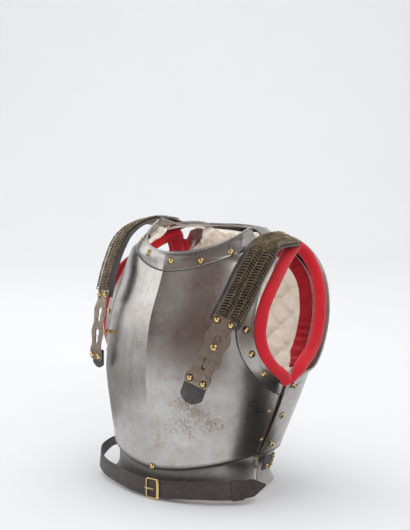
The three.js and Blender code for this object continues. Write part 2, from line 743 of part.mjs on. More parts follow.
for (const { side, sign } of SIDES) {
  SIDE_RIVETS.forEach(({ name, on, x, y, z }, k) => {
    const forward = on === breastplate ? -0.6 : -0.1;
    const { at, facing } = seat(on, vec(x * sign, y, z), vec(sign, forward, 0), DOME.radius, 0.3);
    add([name, side, (k % 3) + 1].join("_"), dome(at, facing), BRASS);
  });
}
const ridge = hitOn(breastplate, vec(0.6, -135, 51), vec(0, -1, 0)).at;
add("rivet_ridge", dome(ridge.add(vec(-0.6, -0.8, 0)), vec(0, -1, 0)), BRASS);

// ---------- shoulder straps ----------

// The strap's centre line on the skin, from the leather tip up over the shoulder to the back.
// The wearer's left strap is hooked on its stud, so it lies close to the plate all the way.
const HOOKED_ROUTE = [
  { deg: 23.3, z: 167, lift: 1, roll: 0 },
  { deg: 27.3, z: 203, lift: 1, roll: 2 },
  { deg: 32, z: 232, lift: 1, roll: 4 },
  { deg: 35.9, z: 257, lift: 1, roll: 7 },
  { deg: 40.5, z: 297, lift: 2.6, roll: 10 },
  { deg: 45.8, z: 329.5, lift: 6.5, roll: 15 },
  { deg: 52.5, z: 366, lift: 11, roll: 21 },
  { deg: 62.5, z: 391, lift: 13, roll: 22 },
  { deg: 73.5, z: 401, lift: 12, roll: 20 },
  { deg: 86, z: 404, lift: 14.6, roll: 12 },
  { ...skinAbove(124, 42), lift: 13, roll: 9 },
  { ...skinAbove(118, 62), lift: 12.5, roll: 5 },
  { ...skinAbove(109, 82), lift: 12.5, roll: 0 },
];
// The other one is off its stud and hangs free in front of the plate below the shoulder.
const FREE_ROUTE = [
  { x: 128, y: -120, z: 197, face: 22, rise: 0 },
  { x: 128, y: -119, z: 231, face: 22, rise: 0 },
  { x: 126, y: -114, z: 276, face: 22, rise: 6 },
  { x: 122, y: -106, z: 322, face: 24, rise: 14 },
  { x: 123.5, y: -93, z: 354, face: 28, rise: 26 },
  { x: 128, y: -73, z: 382, face: 34, rise: 40 },
  { x: 131.5, y: -50, z: 406, face: 36, rise: 50 },
  { x: 131, y: -26, z: 420, face: 44, rise: 62 },
  { x: 128, y: 0, z: 427, face: 64, rise: 74 },
  { x: 127, y: 22, z: 429, face: 90, rise: 76 },
  { x: 124, y: 44, z: 425.5, face: 110, rise: 74 },
  { x: 118, y: 66, z: 420.5, face: 130, rise: 73 },
  { x: 109, y: 86, z: 413.5, face: 145, rise: 68 },
];

function strapFrames(free, sign) {
  const onSkin = HOOKED_ROUTE.map((row) => skin(row.deg, row.z, row.lift));
  const hooked = HOOKED_ROUTE.map((row, k) => {
    const before = onSkin[Math.max(k - 1, 0)];
    const ahead = onSkin[Math.min(k + 1, onSkin.length - 1)].clone().sub(before).normalize();
    return { at: onSkin[k], out: skinNormal(row.deg, row.z).applyAxisAngle(ahead, -radians(row.roll)) };
  });
  const hanging = FREE_ROUTE.map((row) => {
    const face = radians(row.face);
    const rise = radians(row.rise);
    const level = Math.cos(rise);
    const out = vec(Math.sin(face) * level, -Math.cos(face) * level, Math.sin(rise));
    return { at: vec(row.x, row.y, row.z), out };
  });
  const rows = free ? hanging : hooked;
  const points = rows.map((row) => forSide(row.at, sign));
  const facings = rows.map((row) => forSide(row.out, sign));
  return framesAlong(points, facings, STRAP_STEPS);
}

// The frames of a strap between two distances from its lower end, thinned to every few.
function stretch({ frames, length }, from, to, every) {
  const step = length / (frames.length - 1);
  const first = Math.ceil(from / step);
  const last = Math.min(Math.floor(to / step), frames.length - 1);
  return frames.filter(
    (f, k) => k === first || k === last || (k > first && k < last && k % every === 0),
  );
}

// A point of a strap: its distance along, across and above the strap's underside.
function spotOn({ frames, length }, along, across, height) {
  const place = clamp((along / length) * (frames.length - 1), 0, frames.length - 1.001);
  const k = Math.floor(place);
  const blend = (key) => frames[k][key].clone().lerp(frames[k + 1][key], place - k);
  const out = blend("out").normalize();
  const at = blend("at").addScaledVector(blend("across").normalize(), across);
  return { at: at.addScaledVector(out, height), facing: out };
}

// The end plate: a wavy outline with two keyholes, bent along the strap. Its outline is drawn flat,
// measured down from the plate's top.
function endPlate(strap, top) {
  const halfAt = (v) => PLATE.half + PLATE.wave * Math.cos((TAU * (v - KEYHOLE.first)) / PLATE.wavePitch);
  const outline = [];
  for (const turn of [1, -1]) {
    for (let k = 0; k <= PLATE_STEPS; k += 1) {
      const v = (PLATE.length * (turn > 0 ? k : PLATE_STEPS - k)) / PLATE_STEPS;
      const corner = k % PLATE_STEPS === 0 ? 0.9 : 1;
      outline.push(new THREE.Vector2(halfAt(v) * turn * corner, v));
    }
  }
  const shape = new THREE.Shape(outline);
  for (const round of [KEYHOLE.first, KEYHOLE.second]) {
    const hole = new THREE.Path();
    const meet = Math.asin(KEYHOLE.slot / KEYHOLE.round);
    hole.absarc(0, round, KEYHOLE.round, Math.PI / 2 + meet, Math.PI * 2.5 - meet, false);
    hole.absarc(0, round + KEYHOLE.drop, KEYHOLE.slot, 0, Math.PI, false);
    shape.holes.push(hole);
  }
  const flat = new THREE.ExtrudeGeometry(shape, {
    depth: PLATE.thick,
    bevelEnabled: false,
    curveSegments: 5,
  });
  const spots = flat.getAttribute("position");
  for (let k = 0; k < spots.count; k += 1) {
    const height = COVER_LIFT + spots.getZ(k);
    const { at } = spotOn(strap, top - spots.getY(k), -spots.getX(k), height);
    spots.setXYZ(k, at.x, at.y, at.z);
  }
  return solidOf(flat);
}

function shoulderStrap(side, sign, free) {
  const strap = strapFrames(free, sign);
  const top = free ? TIP.shortEnd : TIP.end;
  const foot = top - PLATE.length;
  const leather = stretch(strap, top - LEATHER_LAP, strap.length, 3);
  add("strap_leather_" + side, band(leather, STRAP_LEATHER.wide, STRAP_LEATHER.thick), DARK_LEATHER);
  const chain = stretch(strap, top + 1.5, strap.length - 14, 3);
  add(
    "strap_chain_" + side,
    band(chain, STRAP_CHAIN.wide, STRAP_CHAIN.thick, STRAP_CHAIN.shift * sign, COVER_LIFT),
    TARNISHED_BRASS,
  );
  add("strap_plate_" + side, endPlate(strap, top), TARNISHED_BRASS);
  const tongue = stretch(strap, 0, top - TIP.start, 1);
  const roundEnd = (t) => 2 * TIP.half * Math.sin(Math.min(Math.PI / 2, 0.45 + 5 * t));
  add("strap_tip_" + side, band(tongue, roundEnd, TIP.thick), DARK_LEATHER);
  const high = COVER_LIFT + PLATE.thick + 0.3;
  const spots = [
    { name: "rivet_plate", along: top - PLATE_RIVET.inset, height: high },
    { name: "rivet_plate", along: foot + PLATE_RIVET.inset, height: high },
    { name: "rivet_strap_end", along: strap.length - 6.5, height: STRAP_LEATHER.thick + 0.8 },
  ];
  spots.forEach(({ name, along, height }, k) => {
    [-1, 1].forEach((across, i) => {
      const { at, facing } = spotOn(strap, along, across * PLATE_RIVET.half, height);
      const count = name === "rivet_plate" ? 2 * k + i + 1 : i + 1;
      add([name, side, count].join("_"), dome(at, facing), BRASS);
    });
  });
  return { strap, top };
}

const hooked = shoulderStrap("left", 1, false);
shoulderStrap("right", -1, true);

const inSlot = spotOn(hooked.strap, hooked.top - KEYHOLE.first - KEYHOLE.drop, 0, 0);
for (const { side, sign } of SIDES) {
  const facing = forSide(inSlot.facing, sign);
  const { at } = seat(breastplate, forSide(inSlot.at, sign), facing, STUD.shank, 0);
  const profile = [
    [0, 0],
    [STUD.shank, 0],
    [STUD.shank, STUD.reach],
    [STUD.head, STUD.reach + 0.6],
    [STUD.head, STUD.height - 2],
    [STUD.head * 0.6, STUD.height - 0.4],
    [0, STUD.height],
  ];
  add("breast_stud_" + side, turned(profile, 10, at.addScaledVector(facing, 1.2), facing), BRASS);
}

// ---------- waist belt ----------

// The long strap leaves the backplate on the wearer's right, hangs in a loose loop, stands round the
// front of the flange through the buckle, and ends in a point past the keeper. Its rows hold the
// centre line and how far its top leans in towards the plates.
const LONG_BELT = [
  { x: -151, y: -2, z: 57, lean: 8 },
  { x: -152, y: -16, z: 56, lean: 14 },
  { x: -156, y: -31, z: 53, lean: 34 },
  { x: -160, y: -45, z: 49.5, lean: 40 },
  { x: -162, y: -58, z: 45.5, lean: 30 },
  { x: -162, y: -73, z: 38.5, lean: 15 },
  { x: -155, y: -86, z: 31, lean: 5 },
  { x: -140, y: -98, z: 25.5, lean: 0 },
  { x: -117, y: -111, z: 23, lean: 0 },
  { x: -92, y: -121.5, z: 22, lean: 0 },
  { x: -60, y: -132.5, z: 20.5, lean: 0 },
  { x: -30, y: -140, z: 18.8, lean: 0 },
  { x: -13, y: -141.5, z: 18.2, lean: 0 },
  { x: 20, y: -141.5, z: 18.2, lean: 0 },
  { x: 40, y: -140.3, z: 20, lean: 0 },
  { x: 88.5, y: -126, z: 24, lean: 0 },
  { x: 119.5, y: -107, z: 24, lean: 0 },
  { x: 131, y: -95.7, z: 24, lean: 0 },
  { x: 145.5, y: -77.3, z: 25.5, lean: 0 },
  { x: 150.5, y: -66, z: 26.3, lean: 0 },
  { x: 155, y: -53, z: 27, lean: 0 },
  { x: 158.5, y: -42, z: 27.8, lean: 0 },
];
const BUCKLE_ROW = 13;
const SHORT_END = 20;

function beltFrames(rows, inwards, steps) {
  const level = rows.map((row) => vec(row.x, row.y, row.z));
  const facings = rows.map((row, k) => {
    const before = level[Math.max(k - 1, 0)];
    const after = level[Math.min(k + 1, rows.length - 1)];
    const ahead = after.clone().sub(before);
    const side = vec(ahead.y, -ahead.x, 0).normalize();
    const lean = radians(row.lean);
    return side.multiplyScalar(Math.cos(lean)).add(vec(0, 0, Math.sin(lean)));
  });
  const points = level.map((p, k) => p.clone().addScaledVector(facings[k], -inwards));
  return framesAlong(points, facings, steps);
}

const longBelt = beltFrames(LONG_BELT, 0, 52);
const shortRows = [{ ...LONG_BELT[BUCKLE_ROW - 1], x: 11 }, ...LONG_BELT.slice(BUCKLE_ROW, SHORT_END)];
const shortBelt = beltFrames(shortRows, BELT.layer, 16);
const pointed = (t) => BELT.wide * Math.min(1, 0.12 + (1 - t) * 18);
add("belt_strap", band(longBelt.frames, pointed, BELT.thick), DARK_LEATHER);
add("belt_short_strap", band(shortBelt.frames, BELT.wide, BELT.thick), DARK_LEATHER);

// A block between two corners, in millimetres.
function block(low, high) {
  const size = high.map((v, k) => v - low[k]);
  return wasm.Manifold.cube(size, false).translate(low);
}

// The buckle's two side bars lie over the long strap and its middle bar behind it.
const front = -141.5 - BELT.thick - 0.3;
const edge = { low: 18.2 - BELT.wide / 2 - 0.4, high: 18.2 + BELT.wide / 2 + 0.4 };
const buckle = wasm.Manifold.union([
  block([-4, front - 3, edge.low - 2], [-1.4, front, edge.high + 2]),
  block([16, front - 3.4, edge.low - 2], [20.5, front, edge.high + 2]),
  block([-4, front - 3, edge.low - 2], [20.5, front, edge.low]),
  block([-4, front - 3, edge.high], [20.5, front, edge.high + 2]),
  block([7, front - 3, edge.low - 2], [10, -139.2, edge.low]),
  block([7, front - 3, edge.high], [10, -139.2, edge.high + 2]),
  block([7, -141.2, edge.low - 2], [10, -139.2, edge.high + 2]),
]);
add("belt_buckle", buckle, BRASS);
add("belt_prong", block([-7.5, front - 5.2, 16.9], [13, front - 3.3, 19.5]), BRASS);

// The keeper is a leather loop round both straps.
const KEEPER = { x: 137.5, y: -88, z: 24.6, length: 20, thick: 1.3, gap: 0.8 };
const heart = longBelt.frames.reduce((best, f) => {
  const goal = vec(KEEPER.x, KEEPER.y, KEEPER.z);
  return f.at.distanceTo(goal) < best.at.distanceTo(goal) ? f : best;
});
const low = -BELT.layer - KEEPER.gap;
const high = BELT.thick + KEEPER.gap;
const tall = BELT.wide / 2 + KEEPER.gap;
const loop = block(
  [-KEEPER.length / 2, -tall - KEEPER.thick, low - KEEPER.thick],
  [KEEPER.length / 2, tall + KEEPER.thick, high + KEEPER.thick],
).subtract(block([-KEEPER.length, -tall, low], [KEEPER.length, tall, high]));
const axes = new THREE.Matrix4().makeBasis(heart.along, heart.across, heart.out);
const keeper = new THREE.Mesh(geometryOf(loop), DARK_LEATHER);
keeper.name = "belt_keeper";
keeper.applyMatrix4(axes.setPosition(heart.at));
cuirass.add(keeper);

// What is left of the belt's other fixing: a leather patch on the backplate's lower side edge.
const PATCH_ROUTE = [
  { y: -29, z: 58, out: 3.2 },
  { y: -12, z: 58, out: 3.2 },
  { y: 6, z: 58, out: 3.2 },
];
const patchRows = PATCH_ROUTE.map(({ y, z, out }) => {
  const deg = degAtY(y, z);
  return { at: skin(deg, z, out), facing: skinNormal(deg, z) };
});
const patchFrames = framesAlong(
  patchRows.map((row) => row.at),
  patchRows.map((row) => row.facing),
  6,
);
add("belt_patch", band(patchFrames.frames, 25, BELT.thick), DARK_LEATHER);
const PATCH_RIVETS = [
  { along: 12, across: 6 },
  { along: 29, across: 7 },
  { along: 29, across: -7 },
];
PATCH_RIVETS.forEach(({ along, across }, k) => {
  const { at, facing } = spotOn(patchFrames, along, across, BELT.thick + 0.3);
  add("rivet_belt_patch_" + (k + 1), dome(at, facing, 0.8), BRASS);
});
const belted = spotOn(longBelt, 8, 0, BELT.thick + 0.3);
add("rivet_belt_strap", dome(belted.at, belted.facing), BRASS);

cuirass.position.y = FRAME_SHIFT;

export default cuirass;
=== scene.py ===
"""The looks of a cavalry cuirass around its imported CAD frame: worn steel plates, brass-linked
shoulder straps, red padded arm rolls, quilted linen linings and a leather waist belt."""
import math
import random

import bpy
import numpy as np
from mathutils import Matrix, Vector, noise
from mathutils.bvhtree import BVHTree
from mathutils.geometry import delaunay_2d_cdt


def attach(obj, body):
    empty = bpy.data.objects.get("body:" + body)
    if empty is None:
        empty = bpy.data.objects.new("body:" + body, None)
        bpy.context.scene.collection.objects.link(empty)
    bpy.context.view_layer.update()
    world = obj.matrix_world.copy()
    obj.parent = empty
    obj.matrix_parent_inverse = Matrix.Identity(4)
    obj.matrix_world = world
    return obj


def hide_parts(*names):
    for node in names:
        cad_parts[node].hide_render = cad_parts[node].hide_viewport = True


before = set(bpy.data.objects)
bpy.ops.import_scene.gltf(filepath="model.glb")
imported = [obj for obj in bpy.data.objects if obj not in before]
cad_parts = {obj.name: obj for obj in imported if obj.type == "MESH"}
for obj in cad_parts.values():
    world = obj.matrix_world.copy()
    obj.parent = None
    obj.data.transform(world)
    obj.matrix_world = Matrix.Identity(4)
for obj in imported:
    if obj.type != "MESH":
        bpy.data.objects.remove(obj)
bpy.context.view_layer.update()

# ---------- dimensions, the same as the CAD source's: millimetres until a mesh is made ----------

MM = 0.001
FRAME_SHIFT = -8.0
BREAST_THICKNESS = 2.6
BACK_THICKNESS = 2.2
BACK_OUT = 4.5
LINING_THICKNESS = 3.6
CREASE_SPREAD = 40.0
SEAM_LAP = 10.0
SIDE_DEG = 90.0
NAPE_DEG = 180.0

LEVEL_COLUMNS = ("z", "half", "mid", "ridge", "crease", "back", "front_power", "back_power")
LEVEL_ROWS = [
    (0, 136, -38, -134, 4, 104, 2.1, 2.1),
    (50, 139, -38, -135, 4, 101, 2.1, 2.1),
    (78, 146, -31, -137, 5, 107, 2.1, 2.1),
    (105, 153, -22, -140, 6, 117, 2.15, 2.1),
    (130, 159, -14, -143, 7, 126, 2.2, 2.15),
    (163, 166, -3, -147.5, 8, 137, 2.25, 2.25),
    (200, 171, 9, -150.5, 9, 148, 2.3, 2.4),
    (256, 172, 26, -147, 11, 158, 2.3, 2.7),
    (300, 168, 36, -137, 12, 162, 2.35, 3),
    (348, 158, 42, -115, 13, 158, 2.4, 3),
    (390, 144, 38, -97, 13, 139, 2.45, 2.3),
    (400, 132, 34, -85.5, 12.7, 125, 2.45, 1.95),
    (410, 115, 30, -72, 12, 113, 2.45, 1.85),
    (420, 100, 27, -54, 11, 100, 2.45, 1.85),
    (430, 91, 25, -31, 8, 82, 2.4, 2),
    (437, 84, 23, 3, 0, 52, 2.4, 2.4),
]
LEVELS = {
    name: np.array([row[k] for row in LEVEL_ROWS], float) for k, name in enumerate(LEVEL_COLUMNS)
}

HOLE = {"y": 38, "z": 298, "radius_y": 101, "radius_z": 110, "lean": 33, "pinch": 0.18}
BREAST_HOLE = {"foot_deg": 266.5, "top_deg": 122.8}
BACK_HOLE = {
    "foot_deg": -94, "top_deg": 119, "grow_y": 4, "rear_y": -28,
    "grow_up": 3, "grow_down": -14, "square": 2.7,
}
BREAST_BORDER = 19
BACK_BORDER = 20
BACK_NARROWING = 0.65
ARM_FLARE = 7
BACK_ARM_FLARE = 15

NECK_LINE = {"z": 368, "back_z": 397, "back_rise": 17}
NECK_RIM = {"y": 5, "half_width": 97, "depth": 100, "z": 397.6, "slope": 0.405, "end_deg": 86}
BACK_RIM = {
    "y": 22, "half_width": 97, "depth": 84, "z": 435, "drop": 13, "drop_deg": 38, "start_deg": -10.7,
}

WAIST = {"z": 50, "rise": 27, "power": 1.8, "back_z": 62}
FOOT = {"rise": 17, "flat_deg": 10, "power": 0.75}
FLANGE_SHARE = np.array([0, 0.1, 0.45, 0.8, 1.0])
FLANGE_OUT = np.array([0, -4.5, -7.2, -6, 2.0])
FLANGE_SIDE_FLARE = 8
BACK_FLANGE_IN = 5.5
BACK_EDGE = {"y": -26, "z": 50, "share": 0.45}

BREAST_ROLL = {
    "wide": 17, "thick": 13, "inset": 13.5, "out": 2.5, "drop": 10, "foot_deg": 268, "top_deg": 124,
}
BACK_ROLL = {
    "wide": 20, "thick": 17, "inset": 14.5, "out": 3, "drop": 0, "foot_deg": -80, "top_deg": 117,
}
FACING = {"grow": -8, "top": -8.5, "bottom": -30, "foot_deg": -79, "top_deg": 100}

STRAP_LEATHER = {"wide": 52, "thick": 2.4}
STRAP_CHAIN = {"wide": 42, "shift": 4}
PLATE = {"thick": 1.8, "length": 116, "half": 19, "wave": 2.4, "wave_pitch": 36}
KEYHOLE = {"round": 6, "slot": 3.9, "drop": 14, "first": 35, "second": 71}
TIP = {"start": 98, "end": 149, "short_end": 129, "half": 19, "thick": 2.4}
STUD = {"shank": 3.2, "head": 5.6, "reach": 8, "height": 12}
LEATHER_LAP = 9
COVER_LIFT = STRAP_LEATHER["thick"] + 2.2

LINING_OUT = -(BREAST_THICKNESS + 0.5 + 1.6)
BACK_LINING_OUT = BACK_OUT - BACK_THICKNESS - 0.5 - 4.3
LINING_SHARE = 0.7
LINING_CUT = {"lean": 0.328, "y": -48}
BACK_LINING_LIFT = 26

BELT = {"wide": 29, "thick": 2.2, "layer": 2.8}

rng = random.Random(7)


# ---------- the torso's skin, for arrays of angles and heights ----------

def spline(xs, ys, value):
    x = np.clip(np.asarray(value, float), xs[0], xs[-1])
    i = np.searchsorted(xs[1:-1], x, side="left")
    last = len(xs) - 1
    slopes = np.array([
        (ys[min(k + 1, last)] - ys[max(k - 1, 0)]) / (xs[min(k + 1, last)] - xs[max(k - 1, 0)])
        for k in range(last + 1)
    ])
    h = xs[i + 1] - xs[i]
    t = (x - xs[i]) / h
    rise = (1 + 2 * t) * (1 - t) ** 2 * ys[i] + t * (1 - t) ** 2 * h * slopes[i]
    return rise + t * t * (3 - 2 * t) * ys[i + 1] + t * t * (t - 1) * h * slopes[i + 1]


def level(z):
    return {name: spline(LEVELS["z"], LEVELS[name], z) for name in LEVEL_COLUMNS if name != "z"}


def mix(a, b, t):
    return a + (b - a) * t


def smooth(t):
    t = np.clip(t, 0, 1)
    return t * t * (3 - 2 * t)


def unit(v):
    return v / np.maximum(np.linalg.norm(v, axis=-1, keepdims=True), 1e-12)


def skin_point(deg, z):
    deg, z = np.broadcast_arrays(np.asarray(deg, float), np.asarray(z, float))
    s = level(z)
    angle = np.radians(deg)
    front = deg <= SIDE_DEG
    power = 2 / np.where(front, s["front_power"], s["back_power"])
    x = s["half"] * np.abs(np.sin(angle)) ** power
    depth = np.abs(np.cos(angle)) ** power
    reach = s["mid"] - s["ridge"] - s["crease"]
    y_front = s["mid"] - reach * depth - s["crease"] * np.exp(-x / CREASE_SPREAD)
    y_back = s["mid"] + (s["back"] - s["mid"]) * depth
    return np.stack([x, np.where(front, y_front, y_back), z], axis=-1)


def skin_normal(deg, z):
    deg, z = np.broadcast_arrays(np.asarray(deg, float), np.asarray(z, float))
    step = 0.6
    up = skin_point(deg, z + step) - skin_point(deg, z - step)
    low = np.clip(deg - step, 0, NAPE_DEG)
    high = np.clip(deg + step, 0, NAPE_DEG)
    round_ = skin_point(high, z) - skin_point(low, z)
    round_ = np.where((deg < step)[..., None], np.array([1.0, 0, 0]), round_)
    round_ = np.where((deg > NAPE_DEG - step)[..., None], np.array([-1.0, 0, 0]), round_)
    return unit(np.cross(round_, up))


def skin(deg, z, out=0.0):
    out = np.asarray(out, float)
    return skin_point(deg, z) + skin_normal(deg, z) * out[..., None]


def deg_at_y(y, z):
    s = level(z)
    front = y <= s["mid"]
    reach = np.where(front, s["mid"] - s["ridge"] - s["crease"], s["back"] - s["mid"])
    power = np.where(front, s["front_power"], s["back_power"])
    share = np.clip(np.abs(s["mid"] - y) / reach, 0, 1) ** (power / 2)
    deg = np.degrees(np.arccos(share))
    return np.where(front, deg, NAPE_DEG - deg)


def deg_at_x(x, z, front):
    s = level(z)
    share = np.clip(x / s["half"], 0, 1) ** ((s["front_power"] if front else s["back_power"]) / 2)
    deg = np.degrees(np.arcsin(share))
    return deg if front else NAPE_DEG - deg


def skin_above(x, y):
    low, high = LEVEL_ROWS[0][0], LEVEL_ROWS[-1][0]
    for _ in range(40):
        z = (low + high) / 2
        if skin_point(deg_at_y(y, z), z)[0] > x:
            low = z
        else:
            high = z
    return float(deg_at_y(y, low)), low


# ---------- outlines of the plates ----------

def hole_point(deg, grow, is_back):
    c = np.cos(np.radians(deg))
    s = np.sin(np.radians(deg))
    if not is_back:
        pinch = 1 - HOLE["pinch"] * np.maximum(0, -s) ** 3
        y = HOLE["y"] + (HOLE["radius_y"] + grow) * c * pinch + HOLE["lean"] * s
        return y, HOLE["z"] + (HOLE["radius_z"] + grow) * s
    low = s < 0
    bend = np.where(low, 2 / BACK_HOLE["square"], 1.0)
    radius_y = HOLE["radius_y"] + np.where(c > 0, BACK_HOLE["rear_y"], BACK_HOLE["grow_y"]) + grow
    radius_z = HOLE["radius_z"] + np.where(low, BACK_HOLE["grow_down"], BACK_HOLE["grow_up"]) + grow
    y = HOLE["y"] + np.sign(c) * radius_y * np.abs(c) ** bend + HOLE["lean"] * s
    return y, HOLE["z"] + np.sign(s) * radius_z * np.abs(s) ** bend


def waist_z(deg):
    wave = np.sin(np.radians(deg))
    front = WAIST["z"] + WAIST["rise"] * np.abs(wave) ** WAIST["power"]
    back = mix(WAIST["back_z"], WAIST["z"] + WAIST["rise"], wave ** 2)
    return np.where(deg <= SIDE_DEG, front, back)


def foot_z(deg):
    round_ = np.where(deg <= SIDE_DEG, deg, NAPE_DEG - deg)
    lifted = np.maximum(0, (round_ - FOOT["flat_deg"]) / (SIDE_DEG - FOOT["flat_deg"]))
    return FOOT["rise"] * lifted ** FOOT["power"]


def seam_deg(z):
    return deg_at_y(level(z)["mid"] - SEAM_LAP, z)


def breast_arm(t, share):
    deg = mix(BREAST_HOLE["foot_deg"], BREAST_HOLE["top_deg"], t)
    y, z = hole_point(deg, BREAST_BORDER * share, False)
    return np.minimum(deg_at_y(y, z), SIDE_DEG), z


def back_arm(t, share):
    deg = mix(BACK_HOLE["foot_deg"], BACK_HOLE["top_deg"], t)
    wide = BACK_BORDER * (1 - BACK_NARROWING * smooth((t - 0.5) / 0.3))
    y, z = hole_point(deg, wide * share, True)
    return np.maximum(deg_at_y(y, z), seam_deg(z)), z


def breast_rim(t):
    angle = np.radians(NECK_RIM["end_deg"] * t)
    y = NECK_RIM["y"] - NECK_RIM["depth"] * np.cos(angle)
    z = NECK_RIM["z"] + NECK_RIM["slope"] * (y - NECK_RIM["y"] + NECK_RIM["depth"])
    return np.stack([NECK_RIM["half_width"] * np.sin(angle), y, z], axis=-1)


def back_rim(t):
    deg = mix(BACK_RIM["start_deg"], SIDE_DEG, t)
    angle = np.radians(deg)
    y = BACK_RIM["y"] + BACK_RIM["depth"] * np.sin(angle)
    drop = BACK_RIM["drop"] * smooth((deg - BACK_RIM["start_deg"]) / BACK_RIM["drop_deg"])
    return np.stack([BACK_RIM["half_width"] * np.cos(angle), y, BACK_RIM["z"] - drop], axis=-1)


# ---------- grids of points over half of a plate ----------

# Rows of a border, closer together at its inner crease and at its outer lip.
BORDER_SHARES = np.array([0, 0.025, 0.05, 0.075, 0.11, 0.2, 0.35, 0.5, 0.65, 0.8, 0.9, 0.96, 1.0])
FLANGE_SHARES = np.array([0, 0.02, 0.045, 0.07, 0.1, 0.15, 0.25, 0.35, 0.5, 0.65, 0.8, 0.9, 1.0])
COLUMNS = 54
LOWER_ROWS = 22
UPPER_ROWS = 44
BORDER_STEP = 0.7  # the neck and arm borders stand this far above the body, beyond their crease
GROOVE_DEPTH = 1.1
ARM_REACH = 1.16  # the breastplate's arm border meets its roll, this far beyond the plain solid's share
BREAST_SPLIT_Z = 188  # heights at which the lower grid of a plate meets its upper one in the middle
BACK_SPLIT_Z = 180


def fill(bottom, top, left, right, across, up):
    """Angles and heights between four edges, each of them a function of 0 to 1."""
    u = np.linspace(0, 1, across + 1)[None, :]
    v = np.linspace(0, 1, up + 1)[:, None]
    corners = [bottom(0.0), bottom(1.0), top(0.0), top(1.0)]
    made = []
    for k in (0, 1):
        ruled = mix(bottom(u)[k], top(u)[k], v) + mix(left(v)[k], right(v)[k], u)
        low = mix(corners[0][k], corners[1][k], u)
        high = mix(corners[2][k], corners[3][k], u)
        made.append(ruled - mix(low, high, v))
    return made


def line(a, b):
    return lambda t: (mix(a[0], b[0], t), mix(a[1], b[1], t))


def ends(edge, t):
    return [float(v) for v in edge(t)]


